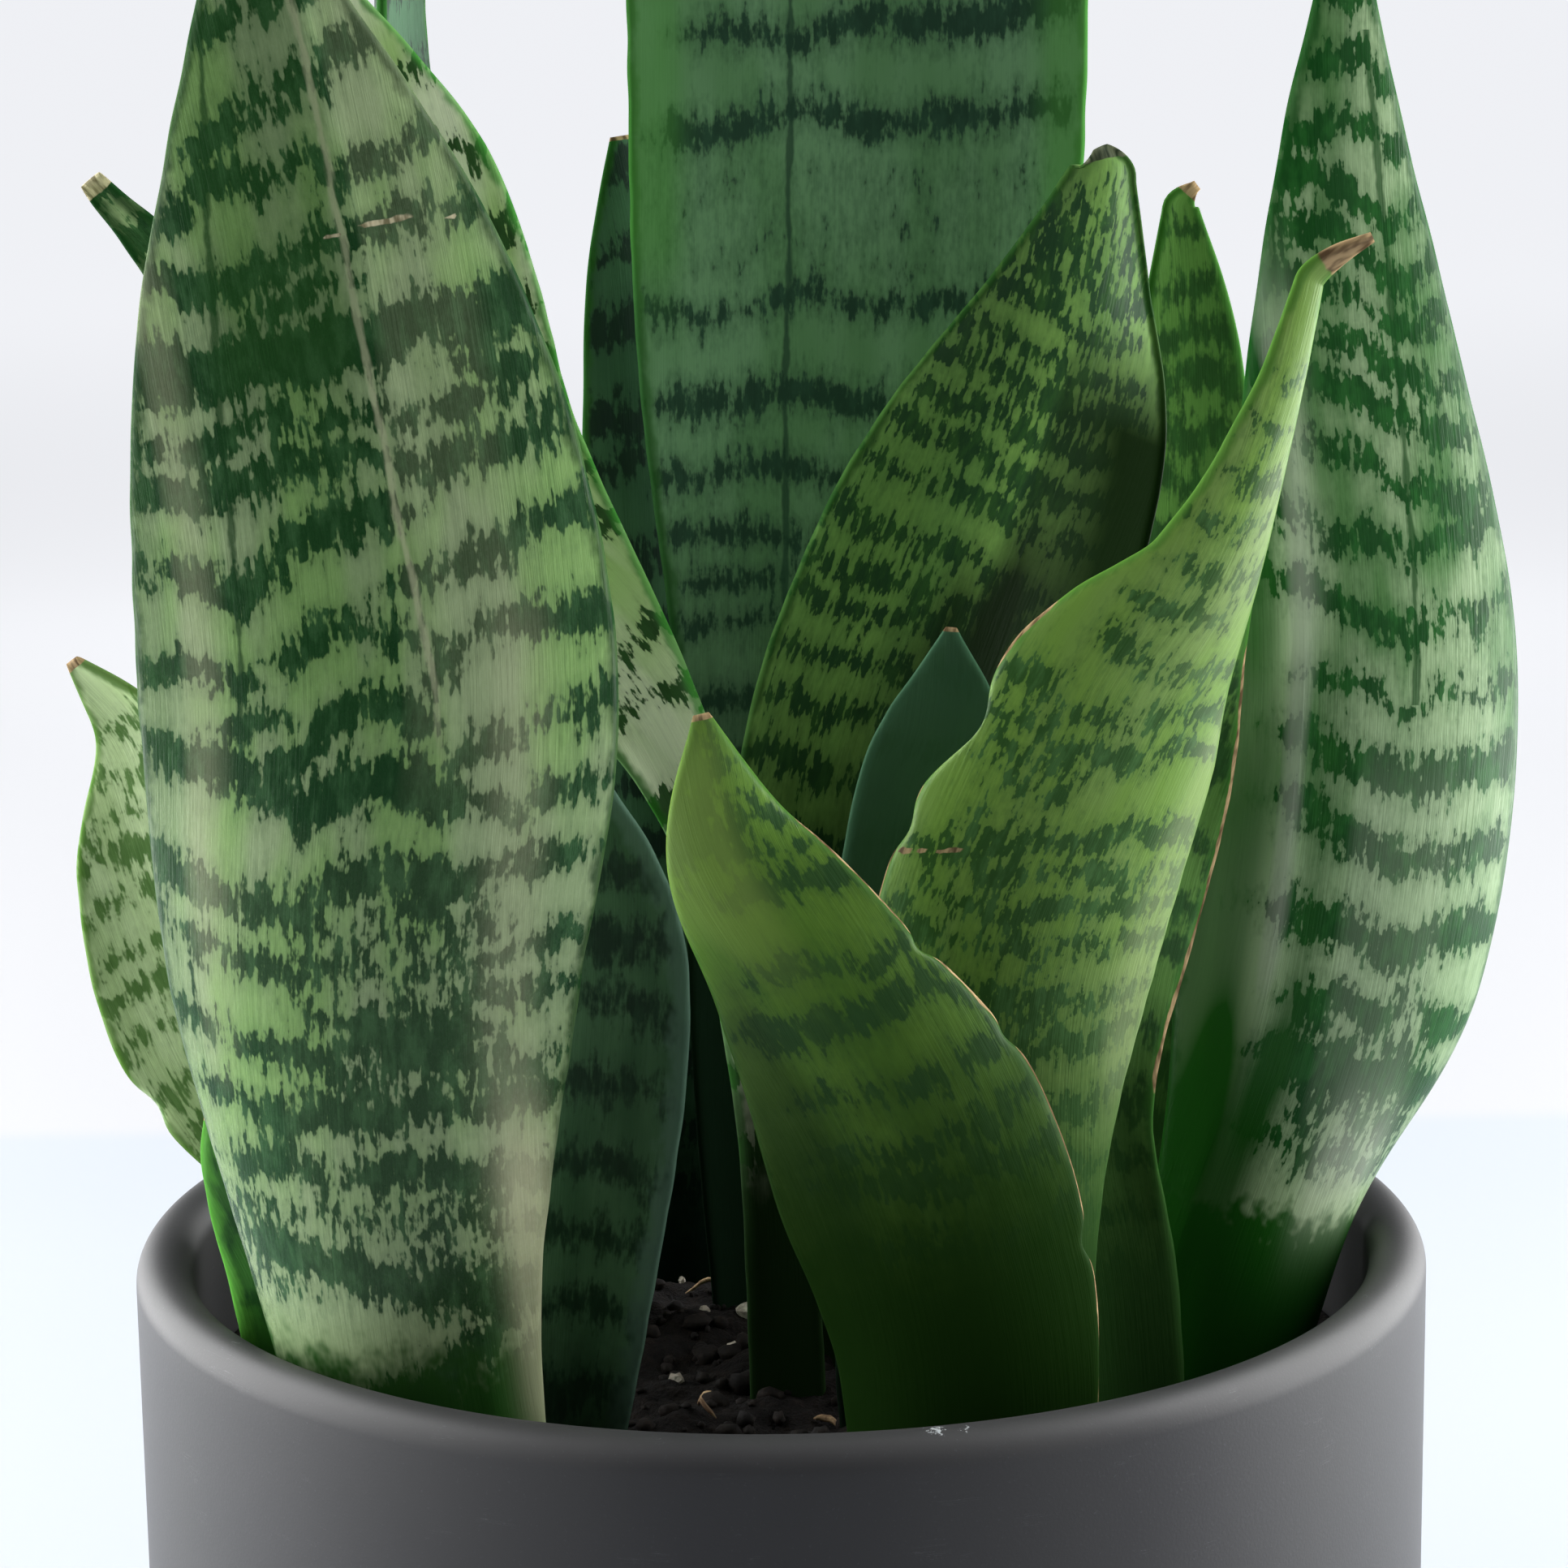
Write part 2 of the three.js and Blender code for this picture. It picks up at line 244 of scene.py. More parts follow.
class NodeSheet:
    """The node tree of one material, with short ways to add and join nodes."""

    def __init__(self, name: str) -> None:
        """Starts a material with a principled shader.

        Args:
            name: The material's name.
        """
        self.material = bpy.data.materials.new(name)
        self.material.use_nodes = True
        self.tree = self.material.node_tree
        self.tree.nodes.clear()
        self.shader = self.tree.nodes.new("ShaderNodeBsdfPrincipled")
        output = self.tree.nodes.new("ShaderNodeOutputMaterial")
        self.tree.links.new(self.shader.outputs["BSDF"], output.inputs["Surface"])

    def feed(self, socket: bpy.types.NodeSocket, value: object) -> None:
        """Joins a socket to another one, or sets it to a plain value.

        Args:
            socket: The socket to feed.
            value: A socket, or a number, a row of numbers or a colour code.
        """
        if isinstance(value, bpy.types.NodeSocket):
            self.tree.links.new(value, socket)
        else:
            socket.default_value = linear(value) if isinstance(value, str) else value

    def paint(self, colour: object, roughness: object, shine: object) -> None:
        """Sets the shader's colour, its roughness and its shine, each a value or a socket."""
        for key, value in (("Base Color", colour), ("Roughness", roughness), ("Specular IOR Level", shine)):
            self.feed(self.shader.inputs[key], value)

    def math(self, operation: str, *values: object, clamp: bool = False) -> bpy.types.NodeSocket:
        """Adds a math node.

        Args:
            operation: Blender's name of the operation.
            values: Numbers or sockets, in order.
            clamp: True to keep the result from 0 to 1.

        Returns:
            The result's socket.
        """
        node = self.tree.nodes.new("ShaderNodeMath")
        node.operation = operation
        node.use_clamp = clamp
        for socket, value in zip(node.inputs, values):
            self.feed(socket, value)
        return node.outputs[0]

    def chain(self, operation: str, *values: object) -> bpy.types.NodeSocket:
        """Joins several values by one operation of two, from the first to the last."""
        return reduce(lambda result, value: self.math(operation, result, value), values)

    def attribute(self, name: str) -> tuple:
        """Reads a mesh attribute.

        Args:
            name: The attribute's name.

        Returns:
            Its vector socket, and its three parts.
        """
        node = self.tree.nodes.new("ShaderNodeAttribute")
        node.attribute_name = name
        return (node.outputs["Vector"], *self.split(node.outputs["Vector"]))

    def split(self, vector: bpy.types.NodeSocket) -> tuple:
        """Splits a vector socket.

        Args:
            vector: The socket to split.

        Returns:
            The sockets of its three parts.
        """
        node = self.tree.nodes.new("ShaderNodeSeparateXYZ")
        self.feed(node.inputs[0], vector)
        return tuple(node.outputs)

    def vector(self, operation: str, *values: object) -> bpy.types.Node:
        """Adds a vector math node.

        Args:
            operation: Blender's name of the operation.
            values: Vectors or sockets, in order.

        Returns:
            The node.
        """
        node = self.tree.nodes.new("ShaderNodeVectorMath")
        node.operation = operation
        for socket, value in zip(node.inputs, values):
            self.feed(socket, value)
        return node

    def object_place(self) -> bpy.types.NodeSocket:
        """Reads the place on the object.

        Returns:
            The socket of its coordinates, in millimetres.
        """
        scale = self.vector("SCALE", self.tree.nodes.new("ShaderNodeTexCoord").outputs["Object"])
        scale.inputs["Scale"].default_value = 1 / MM
        return scale.outputs[0]

    def noise(
        self, place: bpy.types.NodeSocket, size: tuple, seed: float, detail: float = 2.0, rough: float = 0.5
    ) -> bpy.types.NodeSocket:
        """Adds cloudy noise whose clouds have the given size along each coordinate.

        Args:
            place: The coordinate, in millimetres.
            size: The clouds' three sizes, in millimetres; 0 leaves a coordinate out.
            seed: Moves the pattern.
            detail: How many finer layers it has.
            rough: How strong the finer layers are.

        Returns:
            The noise, about 0.5 in the middle.
        """
        scale = [1 / s if s else 0.0 for s in size]
        move = self.vector("MULTIPLY_ADD", place, scale, (seed, seed * 1.7 + 3.1, seed * 0.6 + 7.3))
        node = self.tree.nodes.new("ShaderNodeTexNoise")
        self.feed(node.inputs["Vector"], move.outputs[0])
        for key, value in (("Scale", 1.0), ("Detail", detail), ("Roughness", rough)):
            self.feed(node.inputs[key], value)
        return node.outputs["Fac"]

    def swing(self, value: bpy.types.NodeSocket, amount: float) -> bpy.types.NodeSocket:
        """Turns noise about 0.5 into a swing about 0 of up to the amount."""
        return self.math("MULTIPLY_ADD", value, 2 * amount, -amount)

    def step(self, value: object, low: float, high: float) -> bpy.types.NodeSocket:
        """Rises smoothly from 0 at low to 1 at high, or falls where low is above high.

        Args:
            value: The socket to read.
            low: The value that gives 0.
            high: The value that gives 1.

        Returns:
            The result's socket.
        """
        node = self.tree.nodes.new("ShaderNodeMapRange")
        node.interpolation_type = "SMOOTHSTEP"
        ends = (0.0, 1.0) if low < high else (1.0, 0.0)
        numbers = (value, min(low, high), max(low, high), *ends)
        for key, number in zip(("Value", "From Min", "From Max", "To Min", "To Max"), numbers):
            self.feed(node.inputs[key], number)
        return node.outputs["Result"]

    def mix(self, factor: object, first: object, second: object) -> bpy.types.NodeSocket:
        """Mixes two colours.

        Args:
            factor: Share of the second colour, a number or socket.
            first: A colour or socket.
            second: A colour or socket.

        Returns:
            The mixed colour's socket.
        """
        node = self.tree.nodes.new("ShaderNodeMix")
        node.data_type = "RGBA"
        for number, value in zip(MIX_INPUTS, (factor, first, second)):
            self.feed(node.inputs[number], value)
        return node.outputs[MIX_RESULT]

    def bump(self, height: bpy.types.NodeSocket, strength: float, distance: float) -> None:
        """Raises the shader's surface by a height.

        Args:
            height: The height's socket, from 0 to 1.
            strength: How much of the slope shows.
            distance: The height in metres that 1 stands for.
        """
        node = self.tree.nodes.new("ShaderNodeBump")
        for key, value in (("Strength", strength), ("Distance", distance), ("Height", height)):
            self.feed(node.inputs[key], value)
        self.feed(self.shader.inputs["Normal"], node.outputs["Normal"])


class Edge(Enum):
    """The two edges of a blade, as seen from its inner face, by the sign of the place across."""

    LEFT = -1
    RIGHT = 1


# The noises of a leaf: the size of their clouds across and along it in millimetres, what they add
# to its seed, how many finer layers they have, and how strong those are
LEAF_NOISE = {
    "teeth": ((0.8, 3.8, 0), 0, 2.0, 0.6),
    "tufts": ((2.2, 3.6, 0), 11, 2.0, 0.6),
    "drifts": ((8.0, 6.0, 0), 23, 3.0, 0.6),
    "dots": ((0.5, 1.1, 0), 37, 2.0, 0.6),
    "cloud": ((7.0, 26.0, 0), 41, 2.0, 0.5),
    "streaks": ((0.28, 22.0, 0), 53, 3.0, 0.65),
    "patches": ((1.6, 5.0, 0), 61, 3.0, 0.6),
}


@dataclass(frozen=True)
class LeafFinish:
    """The colours and pattern of one leaf's skin.

    Attributes:
        pale: Colour between the bands.
        pale_shift: What that colour drifts to in places.
        dark: Colour of the bands.
        dark_shift: What the bands' colour drifts to in places.
        margin: Colour of the plain line along both edges.
        foot: Colour of the painted shade near the root, on the shaded sides and in the darker parts.
        root_shade_reach: Heights above the root, in millimetres, between which the painted shade at
            the foot fades.
        margin_width: Width of the line along the edges, in millimetres.
        halo: How much the skin darkens just outside a band.
        low: Height above the root, in millimetres, under which the second pale colour takes over, a
            paler, greyer lower skin that is partly painted sheen.
        light: Colour of the painted highlights that the lighter parts lean to.
        husk: The two colours of dry skin.
        soft: Half the width over which a band's edge fades, in millimetres.
        spread: How far the bands reach past their stated edges, in millimetres.
        ragged: How far the bands' edges are torn into teeth.
        break_up: How much the bands break into patches.
        speckle: How many small dots there are.
        roughness: Roughness of the waxy skin.
    """

    pale: str
    pale_shift: str
    dark: str
    dark_shift: str
    margin: str
    foot: str = "#1c3322"
    root_shade_reach: tuple[float, float] = (10.0, 30.0)
    margin_width: float = 0.9
    halo: float = 0.16
    low: float = -20.0
    light: str = "#dfe6d2"
    husk: tuple[str, str] = ("#5d4a34", "#b49a72")
    soft: float = 0.55
    spread: float = 0.35
    ragged: float = 1.0
    break_up: float = 1.0
    speckle: float = 1.0
    roughness: float = 0.32

    def bands(self, sheet: NodeSheet, noise: dict, depth: object, along: object) -> bpy.types.NodeSocket:
        """Colours the bands and the skin between them.

        Narrow noise drawn out along the blade tears the bands' edges into teeth, wider noise
        breaks them up, and the skin is a little darker just outside a band.

        Args:
            sheet: The leaf's node tree.
            noise: The leaf's noise sockets by name.
            depth: How far each place lies inside a band, in millimetres.
            along: The way along the blade, in millimetres.

        Returns:
            The colour's socket.
        """
        shares = {"teeth": self.ragged, "tufts": self.ragged, "drifts": self.break_up, "dots": self.speckle}
        swings = [sheet.swing(noise[key], share * BAND_SWING[key]) for key, share in shares.items()]
        level = sheet.chain("ADD", depth, self.spread, *swings)
        banded = sheet.step(level, -self.soft, self.soft)
        halo = sheet.math("MULTIPLY", sheet.step(level, *HALO_RANGE), self.halo)
        # Below the low height the second pale colour takes over: greyer skin that is partly painted sheen.
        low = sheet.step(along, self.low + LOW_FADE, self.low - LOW_FADE)
        drift = sheet.math("MAXIMUM", sheet.step(noise["cloud"], 0.35, 0.65), low)
        pale = sheet.mix(drift, self.pale, self.pale_shift)
        dark = sheet.mix(sheet.step(noise["patches"], 0.42, 0.66), self.dark, self.dark_shift)
        skin = sheet.mix(sheet.math("MAXIMUM", banded, halo), pale, dark)
        return sheet.mix(sheet.math("MULTIPLY", sheet.step(noise["streaks"], 0.4, 0.8), 0.07), skin, STREAK)

    def material(self, name: str, seed: float) -> bpy.types.Material:
        """Makes the leaf's material.

        Over the banded skin lie the margins, the painted shade at the foot and on the shaded sides,
        the dark line, the painted highlight along a fold, the painted highlights and painted shade of
        the tone layer, and the dry brown places. Dry, shaded and outermost skin is duller.

        Args:
            name: The material's name.
            seed: Moves the leaf's pattern.

        Returns:
            The material.
        """
        sheet = NodeSheet(name)
        place, _, along, edge = sheet.attribute("blade")
        _, depth, dry, shade = sheet.attribute("marks")
        tone = sheet.attribute("tone")[1]
        noise = {}
        for key, (size, add, detail, strength) in LEAF_NOISE.items():
            noise[key] = sheet.noise(place, size, seed + add, detail, strength)
        skin = self.bands(sheet, noise, depth, along)
        rim = sheet.math("ADD", edge, sheet.swing(noise["tufts"], self.margin_width))
        rim = sheet.step(rim, 1.5 * self.margin_width, 0.5 * self.margin_width)
        skin = sheet.mix(sheet.math("MULTIPLY", rim, 0.85), skin, self.margin)
        # Painted shade: towards the root and on the shaded sides the skin turns to the foot's dark colour.
        root = sheet.math("ADD", along, sheet.swing(noise["tufts"], FOOT_SWING))
        shade = sheet.math("MAXIMUM", shade, sheet.step(root, self.root_shade_reach[1], self.root_shade_reach[0]))
        skin = sheet.mix(shade, skin, self.foot)
        _, fold_highlight, dark_line, fade = sheet.attribute("lines")
        # Painted highlight along the crest of a fold.
        fold = sheet.math("ADD", sheet.math("ABSOLUTE", fold_highlight), sheet.swing(noise["teeth"], 0.5))
        skin = sheet.mix(sheet.chain("MULTIPLY", sheet.step(fold, 0.55, 0.1), fade, 0.6), skin, FOLD_HIGHLIGHT)
        line = sheet.math("ADD", sheet.math("ABSOLUTE", dark_line), sheet.swing(noise["tufts"], 0.5))
        skin = sheet.mix(sheet.math("MULTIPLY", sheet.step(line, 0.55, 0.15), 0.8), skin, self.dark)
        # Painted highlights lean to the light colour, and painted shade to the foot's colour.
        skin = sheet.mix(sheet.math("MAXIMUM", tone, 0.0), skin, self.light)
        skin = sheet.mix(sheet.math("MAXIMUM", sheet.math("MULTIPLY", tone, -1.0), 0.0), skin, self.foot)
        wither = sheet.step(sheet.math("ADD", dry, sheet.swing(noise["tufts"], 0.5)), 0.4, 0.6)
        skin = sheet.mix(wither, skin, sheet.mix(sheet.step(noise["teeth"], 0.35, 0.65), *self.husk))
        rough = sheet.math("MULTIPLY_ADD", noise["dots"], 0.12, self.roughness - 0.06)
        rough = sheet.math("MULTIPLY_ADD", wither, 0.35, rough, clamp=True)
        dull = sheet.math("MAXIMUM", shade, sheet.step(edge, 1.0, 0.3))
        rough = sheet.math("MULTIPLY_ADD", dull, 0.35, rough, clamp=True)
        sheet.paint(skin, rough, sheet.math("MULTIPLY_ADD", dull, DULL_SHINE - SKIN_SHINE, SKIN_SHINE))
        grain = sheet.math("MULTIPLY_ADD", noise["streaks"], 0.6, sheet.math("MULTIPLY", noise["teeth"], 0.4))
        sheet.bump(grain, 0.35, 0.00025)
        return sheet.material


@dataclass
class Blade:
    """The form of one stiff leaf.

    Attributes:
        rows: Stations from root to tip: x, y and z of the middle of the blade, its width
            measured round the blade, the direction in degrees that its inner face looks in,
            and the angle by which each edge is bent towards that face.
        wave: Height of the wave along the edges, its number of turns and where it starts.
        nicks: Notches in the edges: edge, height along the blade, depth and length.
        ridges: Keels on the outer face: place across at the root and at the tip, height and width.
        curl: How far the very tip is bent away, in x, y and z, and where that starts.
        pinch: Share of its width that the bent tip loses.
        swell: Height of the gentle unevenness of both faces, in millimetres.
        steps: Number of steps between rings of corners along the blade.
        across_steps: Number of steps from edge to edge.
        seed: Chooses the unevenness.
    """

    rows: np.ndarray
    wave: tuple[float, float, float] = (0.0, 1.0, 0.0)
    nicks: tuple = ()
    ridges: tuple = ()
    curl: tuple[float, float, float, float] = (0.0, 0.0, 0.0, 1.0)
    pinch: float = 0.5
    swell: float = 0.28
    steps: int = 220
    across_steps: int = 30
    seed: int = 1

    def measures(self, t: np.ndarray) -> tuple[np.ndarray, np.ndarray]:
        """Reads the stations' smooth curve, bends its tip, and measures the way from the root.

        Args:
            t: Places along the blade, from 0 to 1.

        Returns:
            The six columns at each place, and the distance from the root in millimetres.
        """
        columns = smooth_curve(self.rows, t)
        bend = np.clip((t - self.curl[3]) / max(1 - self.curl[3], 1e-6), 0, 1) ** 1.6
        columns[:, :3] += bend[:, None] * np.array(self.curl[:3])
        columns[:, 3] *= 1 - self.pinch * bend
        travel = np.linalg.norm(np.diff(columns[:, :3], axis=0), axis=1)
        return columns, np.concatenate([[0.0], np.cumsum(travel)])

    def ring_places(self) -> tuple[np.ndarray, np.ndarray]:
        """Gives the places of one ring of corners round the blade's section.

        Returns:
            The place across at each corner, from -1 to 1 and back, and the face that it is
            on: 1 on the inner face, -1 on the outer and 0 at the two edges.
        """
        sweep = np.linspace(-math.pi / 2, math.pi / 2, self.across_steps + 1)
        spread = 0.25 * sweep / (math.pi / 2) + 0.75 * np.sin(sweep)
        u = np.concatenate([spread, spread[-2:0:-1]])
        side = np.concatenate([np.ones(len(spread)), -np.ones(len(spread) - 2)])
        side[[0, self.across_steps]] = 0
        return u, side

    def grid(self) -> dict[str, np.ndarray]:
        """Works out the blade's closed surface as rings of corners.

        Each section is a lens bent into an arc: its middle line is an arc of the stated width
        and bend, less the notches, and its thickness falls by a parabola from the middle to the
        edges, which are half round. It is drawn in two directions that are square to the
        blade's run. A sine wave along the edges, gentle unevenness and the keels, as bell
        curves across the blade, move it in or out.

        Returns:
            Arrays with one row for each ring: points, across and along and edge in
            millimetres, u and t.
        """
        t = np.linspace(0, 1, self.steps + 1) ** 0.97
        t[-1] = 1.0
        columns, along = self.measures(t)
        u, side = self.ring_places()
        up = np.gradient(columns[:, :3], axis=0)
        up /= np.linalg.norm(up, axis=1, keepdims=True)
        turn = np.radians(columns[:, 4])
        inward = np.stack([np.cos(turn), np.sin(turn), np.zeros_like(turn)], axis=1)
        inward -= (inward * up).sum(axis=1, keepdims=True) * up
        inward /= np.linalg.norm(inward, axis=1, keepdims=True)
        sideways = np.cross(up, inward)
        t, along = t[:, None], along[:, None]
        half = np.maximum(columns[:, 3:4], SMALLEST_WIDTH) / 2
        cup = np.radians(columns[:, 5:6])
        radius = half / cup
        trim = EDGE_UNEVEN * (1 + ripple(along / EDGE_PITCH, np.sign(u) * 3.0, self.seed)) * np.abs(u) ** 8
        for nick, height, depth, length in self.nicks:
            reach = np.clip(np.sign(u) * nick.value, 0, 1) * np.abs(u) ** 6
            trim = trim + depth * np.exp(-(((along - height) / length) ** 2)) * reach
        bend = cup * u - np.sign(u) * trim / radius
        across = radius * bend
        middle = MIDDLE_THICKNESS + (TIP_THICKNESS - MIDDLE_THICKNESS) * t**3
        thick = side * (EDGE_THICKNESS + (middle - EDGE_THICKNESS) * (1 - u * u)) / 2
        thick = thick * np.sqrt(1 - np.clip(1 - half * (1 - np.abs(u)) / EDGE_THICKNESS, 0, 1) ** 2)
        thick = thick * np.sqrt(1 - np.clip((t - 1 + TIP_ROUND) / TIP_ROUND, 0, 1) ** 2 * 0.9)
        height, turns, start = self.wave
        phase = 2 * math.pi * (turns * t + start + WAVE_SKEW * np.sign(u))
        lift = height * np.abs(u) ** 3 * np.sin(phase) * np.sin(math.pi * t)
        lift = lift + self.swell * ripple(across / SWELL_PITCH[0], along / SWELL_PITCH[1], self.seed + 7)
        for root, tip, size, width in self.ridges:
            lift = lift - size * np.exp(-(((across - (root + (tip - root) * t)) / width) ** 2))
        out = (radius - thick) * np.sin(bend)
        rise = lift + radius * (1 - np.cos(bend)) + thick * np.cos(bend)
        points = columns[:, None, :3] + sideways[:, None] * out[..., None] + inward[:, None] * rise[..., None]
        return {
            "points": points,
            "across": across,
            "edge": np.maximum(half - np.abs(across), 0),
            "along": np.broadcast_to(along, across.shape),
            "u": np.broadcast_to(u, across.shape),
            "t": np.broadcast_to(t, across.shape),
        }

    def faces(self) -> list:
        """Numbers the corners of the faces round the blade and of its two closed ends.

        Returns:
            The faces, all pointing out.
        """
        ring = 2 * self.across_steps
        left = np.arange(1, self.across_steps)
        pairs = np.stack([left, ring - left], axis=1)
        strip = np.concatenate([pairs[:-1], pairs[1:, ::-1]], axis=1)[:, [0, 3, 2, 1]]
        tips = np.array([[0, 1, ring - 1], [self.across_steps, ring - left[-1], left[-1]]])
        root = [face[::-1] for face in strip.tolist() + tips.tolist()]
        top = (strip + self.steps * ring).tolist() + (tips + self.steps * ring).tolist()
        return ring_walls(self.steps + 1, ring) + root + top


@dataclass
class Pattern:
    """Where the bands and the other marks of one leaf lie, in millimetres from its root.

    Attributes:
        bands: For each dark band its thickness, and points of its middle line: place across
            and height.
        patches: Mottled areas: from and to across, from and to in height, and how far they
            lie inside the dark, in millimetres.
        seed: Chooses how the bands wander.
        dry_tip: Share of the blade's length, from the tip, that is dry and brown.
        dry_edges: Brown stretches of an edge: edge, from, to and width.
        fold_highlight: Points of a painted highlight along the crest of a lengthwise fold: height
            and place across.
        dark_line: Points of a dark lengthwise line.
        shade: Stretches of painted shade along an edge, in the foot's colour: edge, width from it,
            from and to.
        painted_light: Mostly painted highlights and painted shade, lighter or darker parts of the
            skin: from and to across, from and to in height, and how much lighter, or darker where it
            is below 0.
        scars: Dry scratches: place across and height of both ends, and half the width.
    """

    bands: tuple
    patches: tuple = ()
    seed: int = 1
    dry_tip: float = 0.0
    dry_edges: tuple = ()
    fold_highlight: tuple = ()
    dark_line: tuple = ()
    shade: tuple = ()
    painted_light: tuple = ()
    scars: tuple = ()

    def depth(self, grid: dict[str, np.ndarray]) -> np.ndarray:
        """Works out how far each place lies inside the nearest band.

        For a band it is half the thickness less the height above or below its middle line,
        and less four fifths of the way past its ends. The largest of all bands counts.

        Args:
            grid: The blade's arrays.

        Returns:
            The depth in millimetres, above 0 inside a band and NO_BAND or more outside.
        """
        across = grid["across"]
        along = grid["along"] + 0.9 * ripple(across / 7, grid["along"] / 30, self.seed, 7)
        depth = np.full_like(along, NO_BAND)
        for thickness, *run in self.bands:
            places, heights = np.array(run, float).T
            gap = np.abs(along - np.interp(across, places, heights))
            depth = np.maximum(depth, thickness / 2 - gap - 0.8 * past(across, places[0], places[-1]))
        for low, high, start, end, level in self.patches:
            away = np.hypot(past(across, low, high), past(along, start, end))
            depth = np.maximum(depth, level - 0.6 * away)
        return depth

    def near_edge(self, grid: dict[str, np.ndarray], edge: Edge, width: float, start: float) -> np.ndarray:
        """Falls from the start's value at an edge, by 1 for each width inwards, kept from 0 to 1."""
        return np.clip(start - grid["edge"] / width, 0, 1) * (np.sign(grid["u"]) == edge.value)

    def dryness(self, grid: dict[str, np.ndarray]) -> np.ndarray:
        """Works out where the blade is dry: at its tip, along the stated edges and on its scars.

        Args:
            grid: The blade's arrays.

        Returns:
            The dryness, from 0 to 1.
        """
        dry = np.zeros_like(grid["t"])
        if self.dry_tip:
            dry = np.clip((grid["t"] - 1 + self.dry_tip) / (0.35 * self.dry_tip), 0, 1)
        for edge, start, end, width in self.dry_edges:
            cover = within(grid["along"], start, end, 4, 4) * self.near_edge(grid, edge, width, 1.5)
            dry = np.maximum(dry, cover)
        for first, start, last, end, width in self.scars:
            run = np.array([last - first, end - start], float)
            aside, beyond = grid["across"] - first, grid["along"] - start
            share = np.clip((aside * run[0] + beyond * run[1]) / (run @ run), 0, 1)
            gap = np.hypot(aside - share * run[0], beyond - share * run[1])
            dry = np.maximum(dry, np.clip(1.2 - 0.7 * gap / width, 0, 0.9))
        return dry

    def painted_shade_cover(self, grid: dict[str, np.ndarray]) -> np.ndarray:
        """Works out how far the painted shade, in the foot's colour, covers the stated sides.

        Args:
            grid: The blade's arrays.

        Returns:
            The cover, from 0 to 1.
        """
        cover = np.zeros_like(grid["t"])
        for edge, width, start, end in self.shade:
            side = within(grid["along"], start, end, 12, 12) * self.near_edge(grid, edge, width, 1.3)
            cover = np.maximum(cover, side)
        return cover

    def tone(self, grid: dict[str, np.ndarray]) -> np.ndarray:
        """Adds up the painted highlights and painted shade, each fading out past its borders.

        Args:
            grid: The blade's arrays.

        Returns:
            How much painted highlight each place has, below 0 where it has painted shade.
        """
        tone = np.zeros_like(grid["t"])
        for low, high, start, end, amount in self.painted_light:
            aside, beyond = past(grid["across"], low, high), past(grid["along"], start, end)
            tone = tone + amount * np.exp(-((aside / 2.2) ** 2) - (beyond / 9) ** 2)
        return tone

    def line(self, grid: dict[str, np.ndarray], course: tuple) -> tuple[np.ndarray, np.ndarray]:
        """Measures the way across the blade to a lengthwise line.

        Args:
            grid: The blade's arrays.
            course: Points of the line: height and place across, or nothing.

        Returns:
            The signed distance in millimetres, and 1 where the line shows.
        """
        along = grid["along"]
        if not course:
            return np.full_like(along, NO_LINE), np.zeros_like(along)
        heights, places = np.array(course, float).T
        distance = grid["across"] - np.interp(along, heights, places)
        distance = distance + 0.25 * ripple(along / 18, along / 30, self.seed + 5)
        return distance, within(along, heights[0], heights[-1], 10, 6)


@dataclass
class Leaf:
    """One leaf: its name and slot, its form, its marks and its finish."""

    name: str
    slot: str
    blade: Blade
    pattern: Pattern
    finish: LeafFinish

    def build(self) -> bpy.types.Object:
        """Makes the leaf in place of its plain solid.

        Returns:
            The leaf's object.
        """
        pattern, grid = self.pattern, self.blade.grid()
        piece = make_mesh(f"{self.name}_fine", grid["points"].reshape(-1, 3), self.blade.faces())
        # The fold's painted highlight and the dark line; the tone layer holds the painted highlights and
        # painted shade.
        pale, shown = pattern.line(grid, pattern.fold_highlight)
        dark, dark_shown = pattern.line(grid, pattern.dark_line)
        tone = pattern.tone(grid)
        layers = {
            "blade": (grid["across"], grid["along"], grid["edge"]),
            "marks": (pattern.depth(grid), pattern.dryness(grid), pattern.painted_shade_cover(grid)),
            "lines": (pale, np.where(dark_shown > 0.5, dark, NO_LINE), shown),
            "tone": (tone, 0 * tone, 0 * tone),
        }
        for name, values in layers.items():
            set_attribute(piece, name, np.stack(values, axis=-1))
        piece.data.materials.append(self.finish.material(f"{self.name}_skin", pattern.seed * 7.7))
        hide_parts(self.name)
        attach(piece, ROOT_BODY)
        LOG.info("%s: %d faces", piece.name, len(piece.data.polygons))
        return piece


